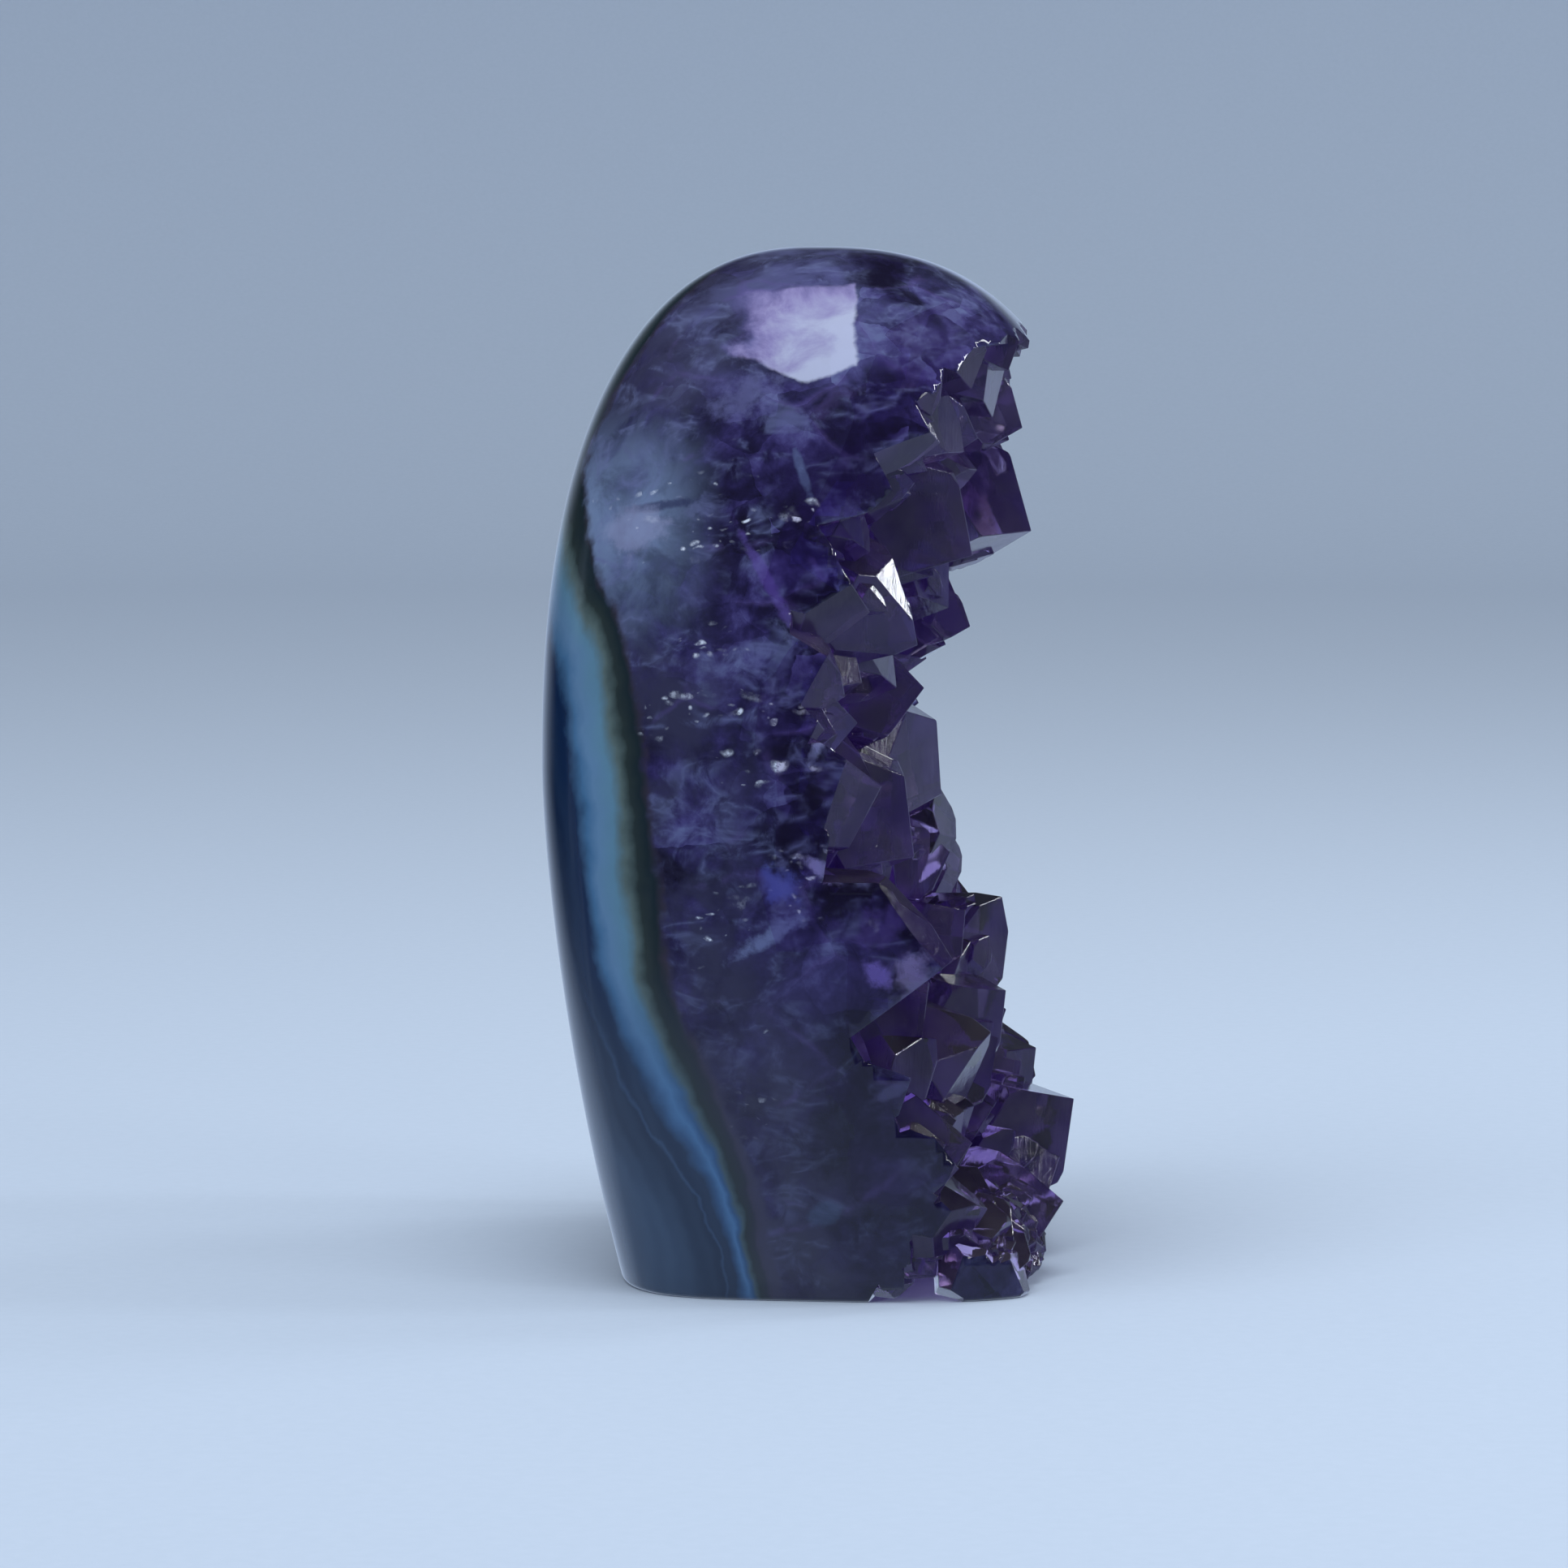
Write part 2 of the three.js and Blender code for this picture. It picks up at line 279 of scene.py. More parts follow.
# %% Cut one crystal
def cut(bm, place, normal):
    made = bmesh.ops.bisect_plane(bm, geom=everything(bm), dist=WELD / 100, plane_co=place, plane_no=normal,
                                  clear_outer=True)
    rim = [part for part in made["geom_cut"] if isinstance(part, bmesh.types.BMEdge) and part.is_boundary]
    if rim:
        bmesh.ops.holes_fill(bm, edges=rim, sides=0)


def tip_normal(turn):
    across, turn = math.sin(TIP_ANGLE), math.radians(turn)
    return Vector((across * math.cos(turn), across * math.sin(turn), math.cos(TIP_ANGLE)))


def standing(axis, twist=0):
    """The turn that takes a crystal made upright to its axis, twisted round it."""
    lean = CRYSTAL_AXIS.rotation_difference(axis).to_matrix().to_4x4()
    return lean @ AXES_TURNED @ Matrix.Rotation(math.radians(twist), 4, "Z")


def crystal(tip, axis, twist, apothem, length, lag):
    """One crystal. Lag is how much further out than the large tip faces the small ones cut."""
    bm = bmesh.new()
    radius = apothem / math.cos(math.pi / 6)
    bmesh.ops.create_cone(bm, segments=6, radius1=radius, radius2=radius, depth=length, cap_ends=True)
    bmesh.ops.translate(bm, verts=bm.verts, vec=(0, 0, -length / 2))
    for turn in LARGE_FACES:
        cut(bm, (0, 0, 0), tip_normal(turn))
    for turn in SMALL_FACES:
        cut(bm, (0, 0, lag), tip_normal(turn))
    bmesh.ops.remove_doubles(bm, verts=bm.verts, dist=WELD)
    bmesh.ops.bevel(bm, geom=bm.edges[:], offset=EDGE_WEAR, affect="EDGES", segments=1, profile=0.5,
                    material=-1, clamp_overlap=True)
    bmesh.ops.remove_doubles(bm, verts=bm.verts, dist=WELD)
    bmesh.ops.transform(bm, matrix=Matrix.Translation(tip) @ standing(axis, twist), verts=bm.verts)
    return bm


# %% [markdown]
# ## The crust
#
# The large crystals are placed one by one, because they make the stone's outline. The small ones between
# them are a staggered, jittered spread over the wall, each nearly square to it. The random numbers come
# from a small generator with a fixed seed, so the stone is the same each time.

# %% Repeatable random numbers
class Chance:
    def __init__(self, seed):
        self.state = seed

    def number(self):
        self.state = (self.state * 1664525 + 1013904223) % 2**32
        return self.state / 2**32

    def spread(self, size):
        return (self.number() * 2 - 1) * size

    def between(self, least, most):
        return least + (most - least) * self.number()

    def mostly_small(self, least, most):
        return least + (most - least) * self.number() ** 2


# %% The large crystals: tip, pitch, yaw and twist in degrees, apothem
LARGE = [
    ((15.6, 0, 67.8), -38, 0, 0, 4.2), ((14.0, 6, 65.2), -20, 10, 20, 2.4),
    ((15.0, 4, 61.6), -18, 4, 30, 3.2), ((13.8, 8, 58.4), -10, 8, 10, 2.2),
    ((15.6, 5, 53.9), -17, 2, 0, 5.2), ((12.4, -8, 52.7), -22, -12, 30, 5.0),
    ((10.2, -3, 48.6), -32, -4, 5, 3.2), ((11.0, 4, 47.0), -9, 4, 0, 3.2),
    ((8.7, -6, 42.9), 2, -6, 30, 3.8), ((9.2, 2, 34.4), -27, 19, 30, 4.8),
    ((8.3, -9, 30.8), -23, -14, 22, 5.0), ((9.4, 7, 29.6), 7, 10, 30, 3.6),
    ((13.4, 6, 26.4), 43, 2, 30, 4.4), ((11.4, -2, 26.2), 30, -8, 15, 2.8),
    ((14.5, -3, 20.4), 26, -10, 30, 3.8), ((13.4, 10, 17.4), 20, 6, 0, 2.6),
    ((14.8, 7, 13.8), 24, 4, 30, 3.2), ((19.1, 3, 11.6), 25, 0, 30, 5.2),
    ((18.2, 1, 7.5), 20, -2, 10, 4.6), ((19.2, -8, 5.6), 14, -10, 0, 4.6),
    ((14.8, -6, 66.0), -50, -12, 40, 3.2), ((14.6, 6, 66.8), -52, 8, 15, 2.8),
    ((12.6, -11.5, 64.8), -44, -24, 10, 3.2), ((12.8, 12, 65.0), -46, 22, 50, 3.4),
    ((15.6, 12, 5.2), 4, 10, 30, 4.4), ((12.4, -22, 24.8), -2, -6, 10, 5.4),
    ((7.2, -21, 37.0), 6, 2, 40, 4.2), ((13.6, -20, 11.5), 8, -12, 20, 4.6),
]
LARGE_LAG = (0.25, 0.75)
SEED = 20
PITCH = 5.4
CRUST_BOTTOM = 4.2
CRUST_FRONT = 11
JITTER = 0.22
LEAN = 0.25
CLEARANCE = 0.8
THIRD_TURN = 120
SMALL_SIZE = (2.6, 4.5)
SMALL_STAND = (1.25, 1.75)
SMALL_LAG = (0.2, 0.8)


# %% Place the crystals
def direction(pitch, yaw):
    pitch, yaw = math.radians(pitch), math.radians(yaw)
    return Vector((math.cos(pitch) * math.cos(yaw), math.cos(pitch) * math.sin(yaw), math.sin(pitch)))


def placed(entries):
    """Tip, axis, twist and apothem of each crystal in a given list."""
    return [(Vector(tip), direction(pitch, yaw), twist, apothem)
            for tip, pitch, yaw, twist, apothem in entries]


def on_wall(along, y):
    """The wall's place at a share of its length, and the way that it faces there."""
    foot, slope = wall_point(even_share(along)), wall_slope(along)
    return Vector((foot.x - side_fall(y, foot.y), y, foot.y)), Vector((slope.y, 0, -slope.x))


def spread_small(chance, large_places):
    """Tip, axis, twist, apothem and lag of each small crystal on the wall."""
    made = []
    rows = round(wall_lengths[-1] / (PITCH * math.sin(math.pi / 3)))
    columns = math.ceil(2 * HALF_WIDTH / PITCH)
    for row in range(rows + 1):
        for column in range(columns + 1):
            along = min(max((row + chance.spread(JITTER)) / rows, 0), 1)
            y = (column - columns / 2 + (row % 2) / 2 + chance.spread(JITTER)) * PITCH
            apothem = chance.mostly_small(*SMALL_SIZE)
            stand = apothem * chance.between(*SMALL_STAND)
            twist = THIRD_TURN * chance.number()
            lag = apothem * chance.between(*SMALL_LAG)
            lean = Vector((0, chance.spread(LEAN), chance.spread(LEAN)))
            foot, facing = on_wall(along, y)
            axis = (facing + lean).normalized()
            tip = foot + axis * stand
            crowded = any(math.hypot(place.y - tip.y, place.z - tip.z) < CLEARANCE * size
                          for place, _, _, size in large_places)
            if foot.z > CRUST_BOTTOM and wall_point(even_share(along)).x < CRUST_FRONT and not crowded:
                made.append((tip, axis, twist, apothem, lag))
    return made


# %% [markdown]
# ## The finest crystals
#
# Quartz seldom stops at one size. Smaller crystals grow parallel on the larger ones, as companions on the
# slopes of their tips and low on their sides. Below the last large crystals the wall keeps a row of very
# small ones, and at the foot's front corner it ends in a rough cluster that points all ways. A few thin
# crystals are placed one by one at the outline with nothing behind them, since that is where light comes
# through and shows their lilac. A bump in the material could hint at all this, but it wouldn't break up the
# outline or refract.

# %% Dimensions of the finest crystals
COMPANION_SHARE = 0.62
COMPANION_TURN = 28
COMPANION_SIZE = (0.18, 0.42)
COMPANION_REACH = (0.35, 1.1)
COMPANION_DROP = (1.3, 2.5)
POKE = 0.75
FINE_COUNT = 230
FINE_REACH = 0.19
FINE_WIDTH = 0.92
FINE_SIDES = (0.72, 0.94)
FINE_LEAN_ACROSS = 0.5
FINE_LEAN_UP = 0.4
FINE_SIZE = (0.9, 2.3)
FINE_STAND = (0.9, 1.6)
FINE_BOTTOM = 0.9
ROUGH_CENTRE = Vector((12.4, -9, 2.2))
ROUGH_REACH = Vector((5.6, 12.5, 5.4))
ROUGH_COUNT = 84
ROUGH_PITCH = (-12, 70)
ROUGH_YAW = 85
ROUGH_LEAN = 0.35
ROUGH_SIZE = (1.1, 2.8)
CLEAR_THROUGH = [
    ((11.3, 2.4, 46.9), -16, -4, 30, 2.0), ((8.4, 8, 34.6), 66, 8, 30, 2.5),
    ((8.9, 11, 31.0), 64, 0, 30, 2.0), ((12.9, 13, 15.6), 52, 4, 30, 2.2),
    ((16.0, -3, 67.6), -40, -6, 20, 3.4),
]
CLEAR_LAG = 0.5


# %% Make the finest crystals
def companions(chance, tip, axis, twist, apothem):
    made = []
    lean = standing(axis).to_3x3()
    for turn in range(0, 360, 60):
        if chance.number() < COMPANION_SHARE:
            own_turn = math.radians(twist + turn + chance.spread(COMPANION_TURN))
            size = apothem * chance.between(*COMPANION_SIZE)
            reach = apothem * chance.between(*COMPANION_REACH)
            under = min(reach * math.tan(TIP_ANGLE), apothem * chance.between(*COMPANION_DROP))
            sideways = lean @ Vector((math.cos(own_turn), math.sin(own_turn), 0))
            place = tip + sideways * reach - axis * (under - size * POKE)
            made.append(crystal(place, axis, twist, size, SMALL_LENGTH / 2, size * chance.number() / 2))
    return made


def fine_crystal(chance, tip, axis, apothem):
    if tip.z < FINE_BOTTOM:
        return []
    return [crystal(tip, axis, THIRD_TURN * chance.number(), apothem, SMALL_LENGTH / 2, apothem / 2)]


def fine_druse(chance):
    """The row along the foot. Every third crystal is near one of its ends, where the wall shows most."""
    made = []
    for number in range(FINE_COUNT):
        y = HALF_WIDTH * chance.spread(FINE_WIDTH)
        if number % 3 == 0:
            y = math.copysign(HALF_WIDTH * chance.between(*FINE_SIDES), y)
        foot, facing = on_wall(FINE_REACH * chance.number(), y)
        lean = Vector((0, chance.spread(FINE_LEAN_ACROSS), chance.spread(FINE_LEAN_UP)))
        axis = (facing + lean).normalized()
        apothem = chance.mostly_small(*FINE_SIZE)
        made += fine_crystal(chance, foot + axis * apothem * chance.between(*FINE_STAND), axis, apothem)
    return made


def rough_end(chance):
    """The cluster at the foot's front corner, each crystal pointing away from the corner's middle."""
    made = []
    for _ in range(ROUGH_COUNT):
        way = direction(chance.between(*ROUGH_PITCH), chance.spread(ROUGH_YAW))
        tip = ROUGH_CENTRE + Vector([size * share for size, share in zip(ROUGH_REACH, way)])
        axis = (way + Vector([chance.spread(ROUGH_LEAN) for _ in range(3)])).normalized()
        made += fine_crystal(chance, tip, axis, chance.between(*ROUGH_SIZE))
    return made


# %% Make all the crystals
chance, fine_chance = Chance(SEED), Chance(SEED + 2)
large_places = placed(LARGE)
crystals = [crystal(*place, LARGE_LENGTH, place[-1] * chance.between(*LARGE_LAG)) for place in large_places]
small_places = spread_small(chance, large_places)
crystals += [crystal(*place, SMALL_LENGTH, lag) for *place, lag in small_places]
print(len(crystals), "crystals, of which", len(LARGE), "large")
for place in large_places:
    crystals += companions(fine_chance, *place)
for *place, _ in small_places:
    if fine_chance.number() < COMPANION_SHARE:
        crystals += companions(fine_chance, *place)
crystals += fine_druse(fine_chance)
crystals += [crystal(*place, SMALL_LENGTH, place[-1] * CLEAR_LAG) for place in placed(CLEAR_THROUGH)]
crystals += rough_end(fine_chance)
print(len(crystals), "crystals with the finest")

# %% [markdown]
# ## One closed stone
#
# Crystals that grow together leave no gap, so the wall and all its crystals become one solid, and the
# grinding then takes away all that stands outside the polished form. Both are Boolean steps. The Manifold
# solver is chosen because it always returns a closed mesh and is fast. Each face keeps the finish of the
# piece that it came from: a face of the polished form is ground, and a face of a crystal is natural.

# %% The finishes, in the order of the mesh's material slots
FINISHES = [bpy.data.materials.new(name) for name in
            ("polished_stone", "polished_crystal", "natural_crystal", "sawn_foot")]
GROUND, GROUND_CLEAR, NATURAL, SAWN = range(len(FINISHES))


# %% Join the crystals and grind the stone
def with_finish(bm, finish):
    for face in bm.faces:
        face.material_index = finish
    return bm


def boolean(thing, operation, **settings):
    step = thing.modifiers.new(operation.lower(), "BOOLEAN")
    step.operation, step.solver = operation, "MANIFOLD"
    for name, value in settings.items():
        setattr(step, name, value)


def grown_and_ground(crystals):
    crust = bpy.data.collections.new("crust")
    bpy.context.scene.collection.children.link(crust)
    for number, bm in enumerate(crystals):
        crust.objects.link(object_of(with_finish(bm, NATURAL), f"crystal_{number}", FINISHES))
    wall = object_of(with_finish(wall_block(), NATURAL), "wall", FINISHES)
    form_bm = with_finish(polished_form(), GROUND)
    for face in form_bm.faces:
        if face.calc_center_median().z < WELD:
            face.material_index = SAWN
    form = object_of(form_bm, "form", FINISHES)
    boolean(wall, "UNION", operand_type="COLLECTION", collection=crust)
    boolean(wall, "INTERSECT", object=form)
    shown = wall.evaluated_get(bpy.context.evaluated_depsgraph_get())
    bm = bmesh.new()
    bm.from_mesh(shown.to_mesh())
    for scaffold in [wall, form, *crust.objects]:
        bpy.data.objects.remove(scaffold)
    bpy.data.collections.remove(crust)
    return bm


def islands(bm):
    """The groups of faces that hang together, the largest first."""
    left, found = set(bm.faces), []
    while left:
        island, border = set(), [left.pop()]
        while border:
            face = border.pop()
            island.add(face)
            for edge in face.edges:
                for near in edge.link_faces:
                    if near in left:
                        left.remove(near)
                        border.append(near)
        found.append(island)
    return sorted(found, key=len, reverse=True)


# %% Build the stone
stone_bm = grown_and_ground(crystals)
for crumb in islands(stone_bm)[1:]:
    bmesh.ops.delete(stone_bm, geom=list(crumb), context="FACES")
print("the stone has", len(stone_bm.faces), "faces and",
      sum(not edge.is_manifold for edge in stone_bm.edges), "open edges")

# %% [markdown]
# ## Where the ground crystals are clear
#
# Near the rim the wheel has cut through single crystals, and one looks into them. Further back the quartz
# is too fine-grained to see into. So a ground face is clear where it lies inside a crystal, no further from
# the tip than that crystal's root is deep. How far each corner lies outside the nearest crystal is
# measured, and the faces that the border crosses are split along it, so the border runs straight along the
# crystals' sides and doesn't follow the mesh's own grid.

# %% Split the ground faces along the crystals' sides
ROOT_LENGTH = (4.2, 9.5)
SMALL_ROOT_LENGTH = (4.2, 7.2)
NEAR_ROOT = 14
MASSIVE_BELOW = 3.5
SIDE_TURNS = [math.radians(turn) for turn in sorted(LARGE_FACES + SMALL_FACES)]


def root(tip, axis, twist, apothem, depth):
    """A crystal as its tip, axis, the directions of its sides, apothem and how deep it is clear."""
    lean = standing(axis, twist).to_3x3()
    sides = [lean @ Vector((math.cos(turn), math.sin(turn), 0)) for turn in SIDE_TURNS]
    return tip, axis, sides, apothem, depth


def outside_root(place, tip, axis, sides, apothem, depth):
    from_tip = place - tip
    return max(-from_tip.dot(axis) - depth, max(from_tip.dot(side) for side in sides) - apothem)


def outside_crystals(place, roots):
    near = [one for one in roots if (place - one[0]).length < NEAR_ROOT]
    return max(min((outside_root(place, *one) for one in near), default=NEAR_ROOT), MASSIVE_BELOW - place.z)


def split_along_border(bm, roots):
    ground = {vert for face in bm.faces if face.material_index == GROUND for vert in face.verts}
    gap = {vert: outside_crystals(vert.co, roots) for vert in ground}
    crossed = {}
    for edge in bm.edges:
        start, end = (gap.get(vert) for vert in edge.verts)
        if start is not None and end is not None and start * end < 0:
            crossed[edge] = start / (start - end)
    made = bmesh.ops.bisect_edges(bm, edges=list(crossed), cuts=1, edge_percents=crossed)
    new = [part for part in made["geom_split"] if isinstance(part, bmesh.types.BMVert)]
    bmesh.ops.connect_verts(bm, verts=new)
    for face in bm.faces:
        if face.material_index == GROUND and outside_crystals(face.calc_center_median(), roots) < 0:
            face.material_index = GROUND_CLEAR
    return len(new)


root_chance = Chance(SEED + 1)
roots = [root(*place, root_chance.between(*ROOT_LENGTH)) for place in large_places]
roots += [root(*place, root_chance.between(*SMALL_ROOT_LENGTH)) for *place, _ in small_places]
print("the border crosses", split_along_border(stone_bm, roots), "edges")

# %% Shade the ground faces smooth and bring the stone to its real size
for face in stone_bm.faces:
    face.smooth = face.material_index in (GROUND, GROUND_CLEAR)
bmesh.ops.triangulate(stone_bm, faces=stone_bm.faces)
bmesh.ops.scale(stone_bm, vec=(mm, mm, mm), verts=stone_bm.verts)
stone = object_of(stone_bm, "druzy_stone", FINISHES)
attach(stone, "root")
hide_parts(STONE)
print("the stone has", len(stone.data.polygons), "triangles")

# %% [markdown]
# ## Node helpers
#
# Each finish is a tree of nodes. Written out in full it takes many lines, so one helper makes a node in the
# tree that was opened last, sets or links its inputs by name, and returns it. Colours are given as a
# painter reads them, in 0 to 255, and turned to the linear values that the renderer counts in.

# %% Helpers for nodes
def linear(*rgb):
    parts = [value / 255 for value in rgb]
    return tuple(p / 12.92 if p < 0.04045 else ((p + 0.055) / 1.055) ** 2.4 for p in parts) + (1,)


def open_tree(opened):
    """From here on the helpers draw in this tree."""
    global tree
    tree = opened


def fill(made, inputs):
    """Link each input that is given a socket, and set each that is given a value."""
    for name, value in inputs.items():
        if isinstance(value, bpy.types.NodeSocket):
            tree.links.new(value, made.inputs[name])
        else:
            made.inputs[name].default_value = value


def node(kind, inputs=None, **settings):
    made = tree.nodes.new("ShaderNode" + kind)
    for name, value in settings.items():
        setattr(made, name, value)
    fill(made, inputs or {})
    return made


def maths(operation, *values, clamp=False):
    return node("Math", dict(enumerate(values)), operation=operation, use_clamp=clamp).outputs[0]


def times(first, *others):
    for other in others:
        first = maths("MULTIPLY", first, other)
    return first


def plus(first, *others):
    for other in others:
        first = maths("ADD", first, other)
    return first


def scaled(value, factor, shift):
    return maths("MULTIPLY_ADD", value, factor, shift)


def centred(value, size):
    """A value from 0 to 1 turned to one from minus half the size to plus half the size."""
    return scaled(value, size, -size / 2)


def vector(operation, first, second=(0, 0, 0)):
    outputs = node("VectorMath", {0: first, 1: second}, operation=operation).outputs
    return outputs["Value" if operation in ("DOT_PRODUCT", "LENGTH") else "Vector"]


def parts_of(place):
    return tuple(node("SeparateXYZ", {"Vector": place}).outputs)


def blend(share, first, second, mode="MIX"):
    """The first colour, and as much of the second as the share says."""
    return node("Mix", {0: share, 6: first, 7: second}, data_type="RGBA", blend_type=mode).outputs[2]


def between(value, low_end, high_end, start=0, end=1, smooth=True):
    """From start to end as the value goes from the one end to the other."""
    kind = "SMOOTHSTEP" if smooth else "LINEAR"
    ends = {"Value": value, "From Min": low_end, "From Max": high_end, "To Min": start, "To Max": end}
    return node("MapRange", ends, interpolation_type=kind).outputs["Result"]


def ramp(value, stops):
    """A row of colours, each at its place between 0 and 1."""
    made = node("ValToRGB", {"Fac": value})
    first, last = made.color_ramp.elements
    first.position, last.position = stops[0][0], stops[-1][0]
    first.color, last.color = linear(*stops[0][1]), linear(*stops[-1][1])
    for position, rgb in stops[1:-1]:
        made.color_ramp.elements.new(position).color = linear(*rgb)
    return made.outputs["Color"]


def cloud(place, scale, detail=3, rough=0.5, distortion=0.0):
    return node("TexNoise", {"Vector": place, "Scale": scale, "Detail": detail, "Roughness": rough,
                             "Distortion": distortion}).outputs["Fac"]


def stretched(place, scale, turn=(0, 0, 0)):
    return node("Mapping", {"Vector": place, "Scale": scale, "Rotation": turn}).outputs["Vector"]


def place_in_mm():
    return stretched(node("TexCoord").outputs["Object"], (1 / mm,) * 3)


def group(name, inputs, outputs):
    """A new group of nodes, opened: its tree, the sockets that it is given, and the node of its results."""
    open_tree(bpy.data.node_groups.new(name, "ShaderNodeTree"))
    for way, sockets in (("INPUT", inputs), ("OUTPUT", outputs)):
        for label, kind in sockets.items():
            tree.interface.new_socket(label, in_out=way, socket_type="NodeSocket" + kind)
    given = tree.nodes.new("NodeGroupInput").outputs
    return tree, [given[label] for label in inputs], tree.nodes.new("NodeGroupOutput")


def use(made_group, inputs):
    return node("Group", inputs, node_tree=made_group).outputs


# %% [markdown]
# ## The beds of the rind
#
# Agate grew in layers from the rock inwards, and the quartz on top of it. So every band keeps a distance
# from one surface, where agate ends and quartz starts. This group gives that distance in millimetres:
# positive in the quartz, negative in the agate. Painting each band as its own shape would be the other way,
# but then the bands wouldn't stay parallel, which is just what makes them look like agate.

# %% Group: distance from where the agate ends
AGATE_END = [(-2, 0), (-2.9, 5.8), (-6.6, 15.7), (-10.2, 26), (-11.3, 34.9), (-12.8, 43), (-15.9, 52.2),
             (-17, 58), (-16.2, 63), (-13, 68), (-9, 73)]
REACH = 40
beds, (place,), result = group("beds", {"Place": "Vector"}, {"Distance": "Float"})
x, y, z = parts_of(place)
curve = node("FloatCurve", {"Value": maths("DIVIDE", z, HEIGHT)})
points = curve.mapping.curves[0].points
for index, (reach, height) in enumerate(AGATE_END):
    spot = (height / HEIGHT, (reach + REACH / 2) / REACH)
    if index < 2:
        points[index].location = spot
    else:
        points.new(*spot)
curve.mapping.update()
end = centred(curve.outputs["Value"], REACH)
broad = centred(cloud(place, 0.07, 1), 4.0)
fine = centred(cloud(place, 0.45, 2), 0.9)
distance = plus(maths("SUBTRACT", x, end), broad, fine)
fill(result, {"Distance": distance})
print("the agate ends", -min(reach for reach, _ in AGATE_END), "mm behind the middle at most")

# %% [markdown]
# ## The bands
#
# High up the bands are narrow and bright: a dark rim, a light blue bed and a thin green selvage. Towards
# the foot they turn to slate and draw together. So there are two rows of colours, and the height blends
# them. Each row lists a distance in millimetres and the colour there.

# %% Group: the agate's bands
OUTERMOST, INNERMOST = -14, 3
HIGH_BEDS = [(-14, (66, 92, 120)), (-9, (44, 66, 96)), (-6, (18, 40, 70)), (-4.1, (14, 40, 76)),
             (-3.1, (78, 122, 162)), (-2.2, (108, 146, 182)), (-1.0, (104, 146, 170)),
             (-0.2, (96, 114, 112)), (0.6, (46, 56, 52)), (1.4, (30, 42, 44)), (2.1, (58, 50, 60)),
             (3, (56, 54, 82))]
LOW_BEDS = [(-14, (56, 76, 102)), (-9, (36, 53, 77)), (-6.4, (33, 49, 73)), (-6.0, (52, 74, 104)),
            (-5.6, (33, 50, 75)), (-4.2, (34, 52, 78)), (-3.0, (52, 86, 126)), (-1.9, (74, 116, 160)),
            (-1.1, (52, 88, 130)), (-0.3, (66, 86, 94)), (0.5, (38, 48, 50)), (1.7, (42, 46, 58)),
            (2.3, (56, 54, 74)), (3, (58, 56, 80))]
PLACE_AND_DISTANCE = {"Place": "Vector", "Distance": "Float"}
rind, (place, distance), result = group("agate rind", PLACE_AND_DISTANCE, {"Colour": "Color"})
x, y, z = parts_of(place)
width = between(z, 2, 26, 0.42, 1.0)
soft = centred(cloud(place, 0.5, 3, 0.5), 0.9)
band = maths("DIVIDE", plus(distance, soft), width)
across = between(band, OUTERMOST, INNERMOST, smooth=False)


def beds_across(stops):
    return ramp(across, [((reach - OUTERMOST) / (INNERMOST - OUTERMOST), rgb) for reach, rgb in stops])


beds_colour = blend(between(z, 12, 28), beds_across(LOW_BEDS), beds_across(HIGH_BEDS))
layered = node("CombineXYZ", {"X": distance}).outputs[0]
ripple = node("TexWave", {"Vector": layered, "Scale": 0.22, "Distortion": 4.0, "Detail": 2.0}).outputs["Fac"]
faint = times(ripple, between(distance, -0.2, -3.5), 0.06)
banded = blend(faint, beds_colour, linear(96, 122, 150))
smoke = times(cloud(place, 0.16, 5, 0.6), 0.3)
fill(result, {"Colour": blend(smoke, banded, linear(34, 48, 74))})

# %% [markdown]
# ## Facets inside the quartz
#
# Between the agate and the crystals the quartz is a mass of crystals that grew side by side, cut across by
# the grinding. One sees their inner faces as angular patches, each shading evenly from one side to the
# other. A Voronoi texture cuts space into such patches. The place within a patch, measured along a random
# direction of its own, gives the even shading. Plain noise would give clouds, which have no straight edges.

# %% Group: angular patches
facets, (place, stretch), result = group("inner facets", {"Place": "Vector", "Stretch": "Vector"},
                                         {"Shade": "Float", "Edge": "Float"})
spot = vector("MULTIPLY", place, stretch)
patch = node("TexVoronoi", {"Vector": spot, "Scale": 1.0}).outputs
inside = vector("SUBTRACT", spot, patch["Position"])
facing = vector("SUBTRACT", patch["Color"], (0.5, 0.5, 0.5))
lean = vector("DOT_PRODUCT", inside, facing)
own = node("SeparateColor", {"Color": patch["Color"]}).outputs["Green"]
shade = plus(times(lean, 1.3), scaled(own, 0.5, 0.25))
gap = node("TexVoronoi", {"Vector": spot, "Scale": 1.0}, feature="DISTANCE_TO_EDGE").outputs["Distance"]
fill(result, {"Shade": shade, "Edge": between(gap, 0.045, 0.0)})

# %% [markdown]
# ## Painted glints
#
# Tiny cracks and bubbles in the quartz flash white; that flash is painted into the colour as white spots,
# a painted highlight. Most lie in loose rows where the stone was strained. A Voronoi texture gives one long
# dot in each of its cells, and it is used twice, for many small dots and a few larger ones. A slow cloud
# lets them show only in patches, more of them where the strain is high.

# %% Group: painted glints
glints, (place, strain), result = group("glints", {"Place": "Vector", "Strain": "Float"}, {"Mask": "Float"})
shaken = node("TexNoise", {"Vector": place, "Scale": 0.8, "Detail": 1.0}).outputs["Color"]
moved = vector("ADD", place, vector("MULTIPLY", shaken, (1.1, 1.1, 1.1)))


